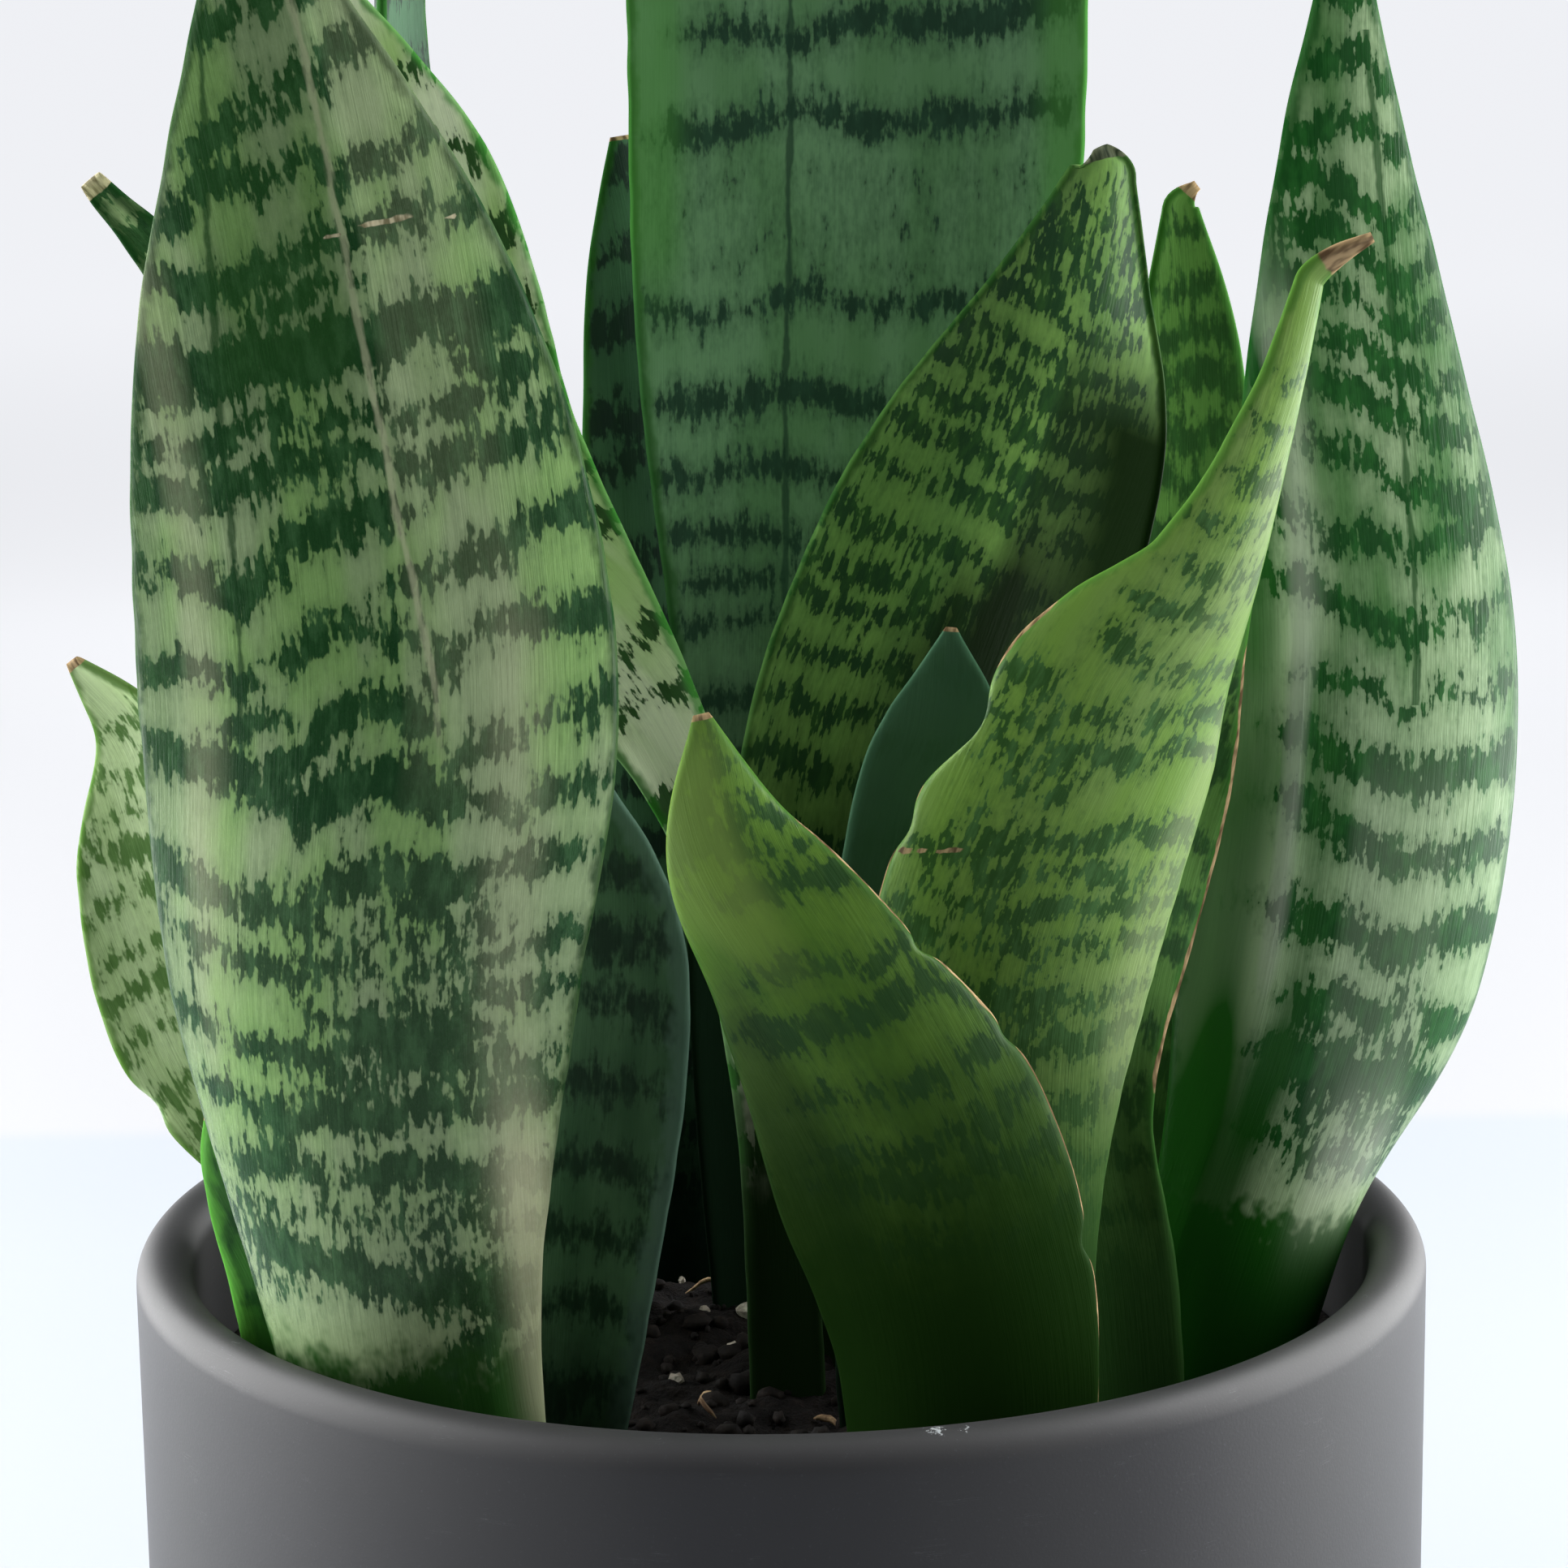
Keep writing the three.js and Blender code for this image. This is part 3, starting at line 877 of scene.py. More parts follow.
@dataclass(frozen=True)
class GlazeFinish:
    """The pot's matt dark grey glaze, with soft clouds, fine specks, rubbed lines and chips.

    Attributes:
        chips: Small light chips near the rim: x, y and z in millimetres, and half the width.
    """

    grey: str = "#2c2c2e"
    grey_shift: str = "#313132"
    speck: str = "#414245"
    rub: str = "#8f9193"
    chip: str = "#c4cacc"
    chips: tuple = ((15.5, -70.4, 139.9, 0.8), (18.6, -69.8, 139.8, 0.3), (-12.0, -75.0, 124.0, 0.1))
    roughness: float = 0.5

    def material(self, name: str) -> bpy.types.Material:
        """Makes the glaze: soft clouds of two greys, fine grain, thin rubbed lines and chips.

        A rubbed line shows where one noise passes through its middle value and another is high.
        A chip is a ball round its middle, torn by noise.

        Args:
            name: The material's name.

        Returns:
            The material.
        """
        sheet = NodeSheet(name)
        place = sheet.object_place()
        cloud = sheet.noise(place, (26.0, 26.0, 34.0), 3.0, 3.0)
        grain = sheet.noise(place, (0.35, 0.35, 0.35), 9.0)
        scratch = sheet.noise(place, (18.0, 18.0, 0.5), 21.0, 3.0, 0.7)
        where = sheet.noise(place, (9.0, 9.0, 4.0), 31.0)
        tear = sheet.noise(place, (0.6, 0.6, 0.5), 41.0, 3.0, 0.7)
        body = sheet.mix(sheet.step(cloud, 0.3, 0.7), self.grey, self.grey_shift)
        body = sheet.mix(sheet.step(grain, 0.62, 0.85), body, self.speck)
        scratch = sheet.math("ABSOLUTE", sheet.math("SUBTRACT", scratch, 0.5))
        rubbed = sheet.chain("MULTIPLY", sheet.step(scratch, 0.004, 0.0), sheet.step(where, 0.62, 0.7), 0.35)
        body = sheet.mix(rubbed, body, self.rub)
        for *middle, half in self.chips:
            away = sheet.vector("DISTANCE", place, middle).outputs["Value"]
            torn = sheet.step(sheet.math("MULTIPLY_ADD", tear, 5.0, away), half + 2.4, half + 1.9)
            body = sheet.mix(sheet.math("MULTIPLY", torn, 0.8), body, self.chip)
        rough = sheet.math("MULTIPLY_ADD", cloud, 0.1, self.roughness - 0.05)
        sheet.paint(body, sheet.math("MULTIPLY_ADD", grain, 0.08, rough), 0.5)
        sheet.bump(grain, 0.12, 0.0001)
        return sheet.material


@dataclass
class Pot:
    """The round pot: a straight wall with a rounded rim, a flat floor and a softened foot.

    The straight stretches of its outline end the ease short of a corner, and its flats and its
    wall start a little way out from the axis and up from the ground.
    """

    name: str = "pot"
    radius: float = POT_RADIUS
    height: float = POT_HEIGHT
    wall: float = WALL
    floor: float = FLOOR
    foot_round: float = 2.0
    well_round: float = 3.0
    ease: float = 6.0
    start: float = 4.0
    sides: int = 240

    def outline(self) -> np.ndarray:
        """Gives radius and height from the foot's middle round the wall to the floor's middle.

        Straight stretches are joined by arcs: a quarter circle at the foot and inside, and half
        a circle over the rim. The last number of each is its count of points.

        Returns:
            One row for each point of the outline.
        """

        def arc(reach: float, height: float, size: float, start: int, end: int, count: int) -> np.ndarray:
            """Gives points on a circle from one angle to another, in quarter turns."""
            angle = np.linspace(start, end, count)[:, None] * math.pi / 2
            return np.hstack([np.cos(angle), np.sin(angle)]) * size + (reach, height)

        inner, half, well = self.radius - self.wall, self.wall / 2, self.well_round
        runs = [
            np.linspace((self.start, 0), (self.radius - self.ease, 0), 8),
            arc(self.radius - self.foot_round, self.foot_round, self.foot_round, -1, 0, 8),
            np.linspace((self.radius, self.start), (self.radius, self.height - self.ease), 30),
            arc(self.radius - half, self.height - half, half, 0, 2, 28),
            np.linspace((inner, self.height - self.ease), (inner, self.floor + self.ease), 12),
            arc(inner - well, self.floor + well, well, 0, -1, 8),
            np.linspace((inner - self.ease, self.floor), (self.start, self.floor), 8),
        ]
        return np.vstack(runs)

    def build(self) -> bpy.types.Object:
        """Turns the outline round the upright axis and closes both middles.

        Returns:
            The pot's object.
        """
        outline = self.outline()
        angle = np.linspace(0, 2 * math.pi, self.sides, endpoint=False)
        radius, height = outline[:, 0, None], outline[:, 1, None]
        ring = np.stack([radius * np.cos(angle), radius * np.sin(angle), height + 0 * angle], axis=-1)
        points = np.vstack([ring.reshape(-1, 3), [[0, 0, 0], [0, 0, self.floor]]])
        piece = make_mesh(f"{self.name}_fine", points, turned_faces(len(outline), self.sides))
        piece.data.materials.append(GlazeFinish().material("pot_glaze"))
        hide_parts(self.name)
        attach(piece, ROOT_BODY)
        LOG.info("%s: %d faces", piece.name, len(piece.data.polygons))
        return piece


@dataclass(frozen=True)
class SoilFinish:
    """Dark potting soil, partly painted shade: its two browns, its lightest grains and its roughness."""

    # The near-black browns partly paint the shade that falls on the soil among the leaves.
    dark: str = "#060403"
    light: str = "#150f0a"
    grain: str = "#30261d"
    roughness: float = 0.85

    def material(self, name: str) -> bpy.types.Material:
        """Makes the soil: dark crumbs of two browns with a rough grain.

        Args:
            name: The material's name.

        Returns:
            The material.
        """
        sheet = NodeSheet(name)
        place = sheet.object_place()
        crumbs = sheet.noise(place, (2.2, 2.2, 2.2), 5.0, 4.0, 0.7)
        grain = sheet.noise(place, (0.5, 0.5, 0.5), 15.0, 2.0, 0.6)
        body = sheet.mix(sheet.step(crumbs, 0.4, 0.72), self.dark, self.light)
        body = sheet.mix(sheet.step(grain, 0.66, 0.8), body, self.grain)
        sheet.paint(body, self.roughness, 0.15)
        sheet.bump(sheet.math("ADD", crumbs, grain), 0.8, 0.0006)
        return sheet.material


@dataclass(frozen=True)
class CrumbFinish:
    """The skin of the loose bits on the soil: its two tones and its roughness."""

    light: str
    dark: str
    roughness: float = 0.8

    def material(self, name: str) -> bpy.types.Material:
        """Makes the bits' grainy skin of two tones.

        Args:
            name: The material's name.

        Returns:
            The material.
        """
        sheet = NodeSheet(name)
        place = sheet.object_place()
        grain = sheet.noise(place, (0.8, 0.8, 0.8), 7.0, 3.0, 0.6)
        tone = sheet.noise(place, (6.0, 6.0, 6.0), 17.0, 1.0)
        body = sheet.mix(sheet.step(grain, 0.3, 0.7), self.dark, self.light)
        body = sheet.mix(sheet.step(tone, 0.55, 0.4), body, self.dark)
        sheet.paint(body, self.roughness, 0.2)
        sheet.bump(grain, 0.5, 0.0003)
        return sheet.material


@dataclass
class Soil:
    """The soil, with its crumbs, pale grit and dry root fibres."""

    name: str = "soil"
    radius: float = POT_RADIUS - WALL - GAP
    bottom: float = FLOOR + GAP
    sides: int = 260
    rings: int = 110
    crumb_count: int = 900
    grit_count: int = 60
    fibre_count: int = 46
    seed: int = 12

    def height(self, x: np.ndarray, y: np.ndarray) -> np.ndarray:
        """Gives the soil's height: the source's low lumps with finer ones on top.

        The lumps are products and sums of sines, and all die out towards the pot's wall.

        Args:
            x: First coordinates in millimetres.
            y: Second coordinates in millimetres.

        Returns:
            The heights in millimetres.
        """
        share = np.clip(np.hypot(x, y) / self.radius, 0, 1)
        lumps = np.sin(0.21 * x + 1) * np.cos(0.17 * y) + 0.6 * np.sin(0.37 * y - 0.29 * x)
        fine = 0.9 * ripple(x / 9, y / 9, self.seed, 9) + 0.6 * ripple(x / 3.4, y / 3.4, self.seed + 1, 12)
        fine += 0.3 * ripple(x / 1.5, y / 1.5, self.seed + 2, 16)
        return SOIL_TOP + (SOIL_RELIEF * lumps + fine) * (1 - share**4)

    def build(self) -> None:
        """Makes the soil's body and everything that lies on it."""
        angle = np.linspace(0, 2 * math.pi, self.sides, endpoint=False)
        share = np.linspace(1, 0.006, self.rings)[:, None]
        x, y = self.radius * share * np.cos(angle), self.radius * share * np.sin(angle)
        top = np.stack([x, y, self.height(x, y)], axis=-1)
        foot = np.stack([x[0], y[0], np.full(self.sides, self.bottom)], axis=-1)
        inner = foot * (0.3, 0.3, 1)
        peak = [0, 0, float(self.height(np.zeros(1), np.zeros(1))[0])]
        points = np.vstack([inner, foot, top.reshape(-1, 3), [[0, 0, self.bottom], peak]])
        piece = make_mesh(f"{self.name}_fine", points, turned_faces(self.rings + 2, self.sides))
        piece.data.materials.append(SoilFinish().material("soil_earth"))
        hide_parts(self.name)
        self.settle(piece)
        draw = np.random.default_rng(self.seed)
        self.scatter("crumbs", self.crumb_count, (0.5, 1.9), draw, CrumbFinish("#1c150f", "#090604"))
        self.scatter("grit", self.grit_count, (0.7, 1.8), draw, CrumbFinish("#d8d2c4", "#9a9184", 0.6))
        self.fibres(draw)

    def settle(self, piece: bpy.types.Object) -> None:
        """Lets a piece ride with the pot, and logs its count of faces.

        Args:
            piece: The piece's object.
        """
        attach(piece, ROOT_BODY)
        LOG.info("%s: %d faces", piece.name, len(piece.data.polygons))

    def scatter(
        self, name: str, count: int, sizes: tuple, draw: np.random.Generator, finish: CrumbFinish
    ) -> None:
        """Strews small lumps over the soil: flattened balls, each with its own dents.

        Args:
            name: The piece's name.
            count: Number of lumps.
            sizes: Smallest and largest radius in millimetres.
            draw: The seeded source of chance.
            finish: The lumps' finish.
        """
        belts, sides = 4, 7
        polar = np.linspace(0, math.pi, belts + 2)[1:-1][:, None]
        angle = np.linspace(0, 2 * math.pi, sides, endpoint=False)
        round_part = [np.sin(polar) * np.cos(angle), np.sin(polar) * np.sin(angle), np.cos(polar) + 0 * angle]
        ball = np.vstack([np.stack(round_part, axis=-1).reshape(-1, 3), [[0, 0, 1], [0, 0, -1]]])
        faces = [face[::-1] for face in turned_faces(belts, sides)]
        reach = self.radius * np.sqrt(draw.uniform(0, 0.97, count))
        turn = draw.uniform(0, 2 * math.pi, count)
        x, y = reach * np.cos(turn), reach * np.sin(turn)
        size = sizes[0] + (sizes[1] - sizes[0]) * draw.uniform(0, 1, count) ** 2.5
        stretch = draw.uniform(0.6, 1.3, (count, 1, 3)) * size[:, None, None] * (1, 1, 0.8)
        lumps = ball[None] * stretch * draw.uniform(0.8, 1.2, (count, len(ball), 1))
        middle = np.stack([x, y, self.height(x, y) + 0.25 * size], axis=-1)
        points = (lumps + middle[:, None]).reshape(-1, 3)
        piece = make_mesh(name, points, repeated(faces, count, len(ball)), smooth=name == "crumbs")
        piece.data.materials.append(finish.material(f"{name}_skin"))
        self.settle(piece)

    def fibre(self, draw: np.random.Generator, steps: int, sides: int) -> np.ndarray:
        """Works out one dry fibre: a tapered tube along a shallow curve, kept inside the pot.

        The curve is a straight run bent aside by a parabola and lifted in its middle.

        Args:
            draw: The seeded source of chance.
            steps: Rings of corners along it.
            sides: Corners in a ring.

        Returns:
            Its corners, ring by ring, then the two that close it.
        """
        run = np.linspace(-1, 1, steps)
        reach, turn = self.radius * 0.9 * math.sqrt(draw.uniform(0, 1)), draw.uniform(0, 2 * math.pi)
        length, thick, bend = draw.uniform(3, 11), draw.uniform(0.25, 0.55), draw.uniform(-0.5, 0.5)
        heading = draw.uniform(0, math.pi)
        along = np.array([math.cos(heading), math.sin(heading)])
        aside = np.array([-along[1], along[0]])
        path = np.array([math.cos(turn), math.sin(turn)]) * reach
        path = path + run[:, None] * along * length / 2 + (run**2)[:, None] * aside * bend * length / 2
        limit = self.radius * 0.97
        path = path * (limit / np.maximum(np.hypot(*path.T), limit))[:, None]
        height = self.height(path[:, 0], path[:, 1]) + 0.5 + draw.uniform(0, 1.2) * (1 - run**2)
        middle = np.column_stack([path, height])
        angle = np.linspace(0, 2 * math.pi, sides, endpoint=False)[:, None]
        ring = np.cos(angle) * [*aside, 0] + np.sin(angle) * [0, 0, 1]
        tube = middle[:, None] + ring[None] * (thick * (1 - 0.75 * run**4))[:, None, None]
        return np.vstack([tube.reshape(-1, 3), middle[[0, -1]]])

    def fibres(self, draw: np.random.Generator) -> None:
        """Lays thin dry fibres over the soil, as one piece.

        Args:
            draw: The seeded source of chance.
        """
        steps, sides = 10, 6
        tubes = [self.fibre(draw, steps, sides) for _ in range(self.fibre_count)]
        faces = repeated(turned_faces(steps, sides), self.fibre_count, steps * sides + 2)
        piece = make_mesh("root_fibres", np.vstack(tubes), faces)
        piece.data.materials.append(CrumbFinish("#b59a74", "#6d5540").material("fibre_skin"))
        self.settle(piece)


@dataclass(frozen=True)
class Lamp:
    """A large soft light: its place and aim in metres, its size, and its power in watts."""

    name: str
    place: tuple[float, float, float]
    aim: tuple[float, float, float]
    size: tuple[float, float]
    power: float

    def build(self) -> None:
        """Adds the light to the scene."""
        data = bpy.data.lights.new(self.name, "AREA")
        data.shape = "RECTANGLE"
        data.size, data.size_y = self.size
        data.energy = self.power
        lamp = bpy.data.objects.new(self.name, data)
        lamp.location = self.place
        lamp.visible_camera = False
        lamp.rotation_euler = (Vector(self.aim) - Vector(self.place)).to_track_quat("-Z", "Y").to_euler()
        bpy.context.scene.collection.objects.link(lamp)


LAMPS = (
    Lamp("left_window", (-0.55, 0.3, 0.45), (0, 0.3, 0.4), (0.95, 0.9), 17.5),
    Lamp("right_window", (0.55, 0.3, 0.45), (0, 0.3, 0.4), (0.95, 0.9), 17.5),
    Lamp("left_strip", (-0.34, -0.29, 0.26), (-0.04, -0.05, 0.24), (0.035, 0.4), 0.26),
    Lamp("right_strip", (0.21, -0.3, 0.26), (0, -0.05, 0.22), (0.035, 0.4), 0.104),
    Lamp("top_window", (0, 0.5, 1.3), (0, 0.4, 0), (1.6, 1.0), 2.0),
)


@dataclass
class Studio:
    """The pale floor, the soft lights and the camera.

    Attributes:
        lens: The camera's focal length in millimetres.
        sensor: The width of its picture in millimetres.
        eye: The camera's place in metres.
        pitch: How far it looks down, in degrees.
        roll: How far it is turned about its line of sight, in degrees.
        paper: Colour of the white paper under the pot.
        paper_shift: What that colour drifts to in places.
        floor: Colour of the floor behind the paper.
        paper_edge: Where the paper ends behind the pot, in millimetres, and its fade.
        glows: How the floor behind brightens: from and to in millimetres, and how much.
        sky: Colour of the room's light.
        sky_strength: Strength of the room's light.
    """

    lens: float = 100.0
    sensor: float = 36.0
    eye: tuple = (0.00109, -0.48927, 0.29625)
    pitch: float = 12.0
    roll: float = -0.79
    paper: str = "#a2a7af"
    paper_shift: str = "#a6abb3"
    floor: str = "#abacaf"
    paper_edge: tuple[float, float] = (520.0, 15.0)
    glows: tuple = ((450, 1280, 1.62), (1100, 2600, 0.37))
    sky: str = "#f4f6fa"
    sky_strength: float = 0.13

    def build(self) -> None:
        """Sets the stage, the lights and the camera."""
        self.backdrop()
        for lamp in LAMPS:
            lamp.build()
        world = bpy.data.worlds.new("room")
        world.use_nodes = True
        shade = world.node_tree.nodes["Background"]
        shade.inputs["Color"].default_value = linear(self.sky)
        shade.inputs["Strength"].default_value = self.sky_strength
        bpy.context.scene.world = world
        bpy.context.scene.view_settings.view_transform = "Standard"
        self.camera()

    def backdrop(self) -> None:
        """Makes the round floor, with white paper on it up to an edge behind the pot."""
        sides, radius = 96, 20000.0
        angle = np.linspace(0, 2 * math.pi, sides, endpoint=False)
        rim = np.stack([radius * np.cos(angle), radius * np.sin(angle), 0 * angle], axis=1)
        piece = make_mesh("floor", rim, [list(range(sides))], smooth=False)
        sheet = NodeSheet("studio_white")
        place = sheet.object_place()
        back = sheet.split(place)[1]
        edge, fade = self.paper_edge
        paper = sheet.mix(sheet.noise(place, (220.0, 220.0, 220.0), 2.0), self.paper, self.paper_shift)
        tone = sheet.mix(sheet.step(back, edge - fade, edge), paper, self.floor)
        glow = 0.0
        for near, far, amount in self.glows:
            glow = sheet.math("MULTIPLY_ADD", sheet.step(back, near, far), amount, glow)
        sheet.paint(tone, 0.8, 0.2)
        sheet.feed(sheet.shader.inputs["Emission Color"], tone)
        sheet.feed(sheet.shader.inputs["Emission Strength"], glow)
        piece.data.materials.append(sheet.material)

    def camera(self) -> None:
        """Places the camera where the photograph was taken from."""
        pitch, roll = math.radians(self.pitch), math.radians(self.roll)
        forward = Vector((0, math.cos(pitch), -math.sin(pitch)))
        level = Vector((0, math.sin(pitch), math.cos(pitch)))
        side = Vector((1, 0, 0))
        right = math.cos(roll) * side + math.sin(roll) * level
        above = math.cos(roll) * level - math.sin(roll) * side
        data = bpy.data.cameras.new("camera")
        data.lens = self.lens
        data.sensor_width = self.sensor
        camera = bpy.data.objects.new("camera", data)
        turn = Matrix((right, above, -forward)).transposed()
        camera.matrix_world = Matrix.Translation(self.eye) @ turn.to_4x4()
        bpy.context.scene.collection.objects.link(camera)
        bpy.context.scene.camera = camera


# In each finish the foot colour, fading over its reach, is painted shade towards the root, and the light
# colour is that of the painted highlights.
BANDED = LeafFinish(
    "#8cb46b", "#9bb283", "#1c4421", "#376038", "#143c16", "#28561f", (33.0, 41.0), 1.3, halo=0.3, low=60.0,
    light="#dadcb4", husk=("#7d7656", "#d6cda8"), roughness=0.27, soft=0.75, spread=0.6,
)
CHEVRON = LeafFinish(
    "#558349", "#98b486", "#114a17", "#226024", "#17521a", "#1f5c17", (38.0, 42.0), 1.3, halo=0.35, low=88.0,
    spread=0.7,
)
TALL = LeafFinish(
    "#517b50", "#5f8760", "#163624", "#1e402c", "#2c5c28", "#122416", (60.0, 136.0), 1.1, halo=0.4,
    ragged=0.8, break_up=0.5, soft=1.3, light="#4b9432", roughness=0.6,
)
# Dark bluish colours that paint the shade on the leaves deep at the back.
SHADED_BACK = LeafFinish(
    "#30563a", "#3c6344", "#142f20", "#122a20", "#2c6024", "#0a1a10", (20.0, 70.0), soft=1.0, roughness=0.7,
)
SHADED = LeafFinish(
    "#3c5f41", "#4f7252", "#1d3624", "#25422d", "#567263", "#0e1c10", (10.0, 44.0), 2.0, soft=1.6,
)
SCALE = LeafFinish(
    "#3c7a2c", "#356a29", "#1f4e1e", "#265824", "#58a03a", "#16350f", (4.0, 26.0), 1.4, soft=1.6,
)
# Dark bluish colours and a nearly black foot that paint the shade on the young leaf deep in the middle.
YOUNG = LeafFinish("#385941", "#3c5e44", "#35573e", "#33553b", "#3f634a", "#0c190f", (30.0, 98.0), soft=1.6)
YELLOW = LeafFinish(
    "#6d9739", "#557d2d", "#30542a", "#3c612d", "#457329", "#1a360d", (42.0, 92.0), halo=0.35, soft=0.9,
    light="#a9cc62",
)
LEANING = LeafFinish(
    "#739b41", "#799b50", "#315825", "#46703a", "#4f802f", "#2c4c20", (36.0, 90.0), halo=0.35, speckle=1.6,
    light="#cfdfa4",
)
PALE = LeafFinish("#dcf2ba", "#c8e2a2", "#5d8342", "#6b914e", "#527c30", "#44702c", halo=0.25, soft=0.9)
CUPPED = LeafFinish(
    "#92c064", "#80ae5c", "#2c5230", "#3c6834", "#26501c", "#12260a", (58.0, 116.0), halo=0.35,
    husk=("#2c3826", "#6f765c"),
)
BACK = LeafFinish("#679647", "#59863f", "#2c5226", "#34602c", "#3a7028", "#2a4c20", (28.0, 76.0), soft=1.3)
GREYISH = LeafFinish(
    "#abcd82", "#e2eaca", "#2f5428", "#294a22", "#377a2c", "#1a2f14", (40.0, 80.0), low=105.0,
)


def evenly(
    start: float, stop: float, pitch: float, thickness: float, width: float, rise: float, seed: int
) -> tuple:
    """Lays a row of bands over a blade's whole width, each changed a little by seeded chance.

    A band's middle line is a parabola that is highest in the middle of the blade.

    Args:
        start: Height of the first band in millimetres.
        stop: Height that the last band stays under.
        pitch: The usual distance between bands.
        thickness: The usual thickness of a band.
        width: The blade's width in millimetres.
        rise: How far a band falls from the middle to an edge.
        seed: Chooses the small changes.

    Returns:
        The bands, as Pattern takes them.
    """
    draw = np.random.default_rng(seed)
    share = np.linspace(-1, 1, 7)
    bands = []
    for height in np.arange(start, stop, pitch):
        height += draw.uniform(-0.2, 0.2) * pitch
        line = height - rise * share**2 + draw.uniform(-0.12, 0.12, 7) * pitch
        bands.append((thickness * draw.uniform(0.6, 1.3), *zip(share * width / 2, line)))
    return tuple(bands)


# Each row is a station of the blade, in the same words and numbers as the part's source
ROWS = {
    "front_left_leaf": (
        (-37, -42, 104, 28, 72, 50), (-42, -48, 143, 35, 80, 48), (-43, -53, 181, 47, 85, 36),
        (-40.5, -55, 217, 51, 90, 24), (-44.5, -51, 255, 38.5, 95, 16), (-52.5, -45, 298, 2, 95, 14),
    ),
    "left_leaning_leaf": (
        (1, -9, 104, 10, -80, 40), (-1.5, -11, 162, 9, -95, 35), (-12.5, -13, 201, 11.5, -90, 25),
        (-38, -16, 235, 35, -85, 20), (-45, -22, 263, 32, -80, 18), (-52, -32, 294, 2, -80, 15),
    ),
    "back_left_tall_leaf": (
        (-24, 14, 104, 18, -40, 30), (-22, 20, 155, 14, -30, 25), (-30, 25, 195, 14, -25, 25),
        (-38, 29, 237, 15, -20, 25), (-44, 32, 276, 16, -15, 25), (-40, 32, 309, 13, -15, 25),
        (-35, 34, 335, 2, -15, 25),
    ),
    "left_hooked_leaf": (
        (-38, 12, 104, 20, -80, 30), (-50, 14, 158, 23, -85, 30), (-56, 13, 197, 22, -85, 25),
        (-60, 13, 228, 14, -85, 25), (-66.5, 8, 249, 7.5, -80, 30), (-76, 4, 262, 3, -80, 30),
    ),
    "left_leaf": (
        (-47, -12, 104, 22, -70, 40), (-52, -8, 147, 24, -100, 40), (-61, -8, 167, 31, -105, 35),
        (-67, -9, 186, 25, -110, 30), (-71, -11, 201, 12, -110, 25), (-78, -12, 210, 2, -110, 25),
    ),
    "left_scale_leaf": (
        (-50, -27, 104, 12, -75, 40), (-54, -31, 138, 12, -100, 30), (-58, -31, 150, 9, -105, 25),
        (-61, -32, 157, 5, -110, 20), (-62, -32, 163, 1.5, -110, 20),
    ),
    "tall_back_leaf": (
        (8, 26, 104, 34, -90, 50), (6, 27, 152, 36, -90, 40), (9, 29, 198, 43, -90, 25),
        (10, 31, 237, 52, -92, 15), (11, 34, 275, 55, -92, 12), (11, 37, 315, 54, -94, 12),
        (11, 41, 355, 47, -96, 14), (12, 45, 392, 29, -98, 15), (13, 47, 426, 2, -98, 15),
    ),
    "dark_back_leaf": (
        (-16, 32, 104, 20, 90, 40), (-12, 32, 158, 20, 100, 35), (-13, 34, 198, 21, 110, 30),
        (-14, 36, 232, 18, 120, 30), (-15, 37, 251, 14, 125, 25), (-17, 38, 264, 4, 125, 25),
    ),
    "cupped_leaf": (
        (14, 2, 104, 26, -90, 60), (12, 4, 150, 28, -95, 52), (15, 6, 186, 42, -105, 48),
        (23, 9, 210, 43, -110, 45), (32, 9, 233, 34, -110, 40), (36.5, 8, 251, 18, -110, 40),
        (39, 6, 264, 6, -110, 40),
    ),
    "young_leaf": (
        (12, -18, 104, 10, -90, 30), (11, -15, 160, 13, -90, 30), (15, -12, 188, 15, -90, 25),
        (19, -11, 201, 14, -90, 20), (20, -10, 212, 1.5, -90, 20),
    ),
    "right_leaning_leaf": (
        (27, -24, 104, 22, 90, 50), (25, -27.5, 142, 24, 95, 45), (26, -29, 176, 34, 95, 35),
        (36.8, -28, 204, 30, 105, 30), (47.5, -26, 221, 15, 115, 25), (54.5, -25, 239, 7, 120, 20),
        (59, -24, 256, 3, 120, 20),
    ),
    "front_leaf": (
        (18, -49, 104, 24, 90, 45), (19.8, -50, 137, 30, 86, 36), (13.8, -50, 162, 32.5, 86, 28),
        (4, -48, 181, 23.5, 88, 25), (-4.3, -46, 195, 15.7, 92, 25), (-7.5, -43, 209, 2, 92, 25),
    ),
    "shaded_leaf": (
        (-28, -26, 104, 13, -80, 40), (-25.5, -25, 139, 23, -85, 35), (-23, -25, 168, 27, -80, 30),
        (-22, -26, 186, 22, -80, 25), (-22, -28, 204, 2, -80, 25),
    ),
    "right_leaf": (
        (46, -4, 104, 24, 90, 50), (56, -7, 140, 28, 105, 45), (64.5, -10, 170, 40, 100, 40),
        (68, -8, 206, 38, 100, 30), (66, -2, 242, 25, 100, 20), (64.8, 2, 267, 14, 100, 15),
        (65, 4, 291, 2, 100, 15),
    ),
    "wavy_leaf": (
        (41, -14, 104, 12, -75, 35), (39, -12.5, 134, 14, -80, 30), (36, -13, 158, 13, -80, 30),
        (40, -13, 182, 18, -72, 30), (46, -12, 202, 13, -68, 25), (53, -12, 217, 2, -68, 25),
    ),
    "right_back_leaf": (
        (34, 26, 104, 22, -90, 40), (42, 28, 153, 23, -85, 35), (48, 30, 192, 23, -85, 30),
        (50, 31, 222, 17, -85, 25), (50, 32, 241, 12, -85, 20), (49, 32, 258, 3, -85, 20),
    ),
}

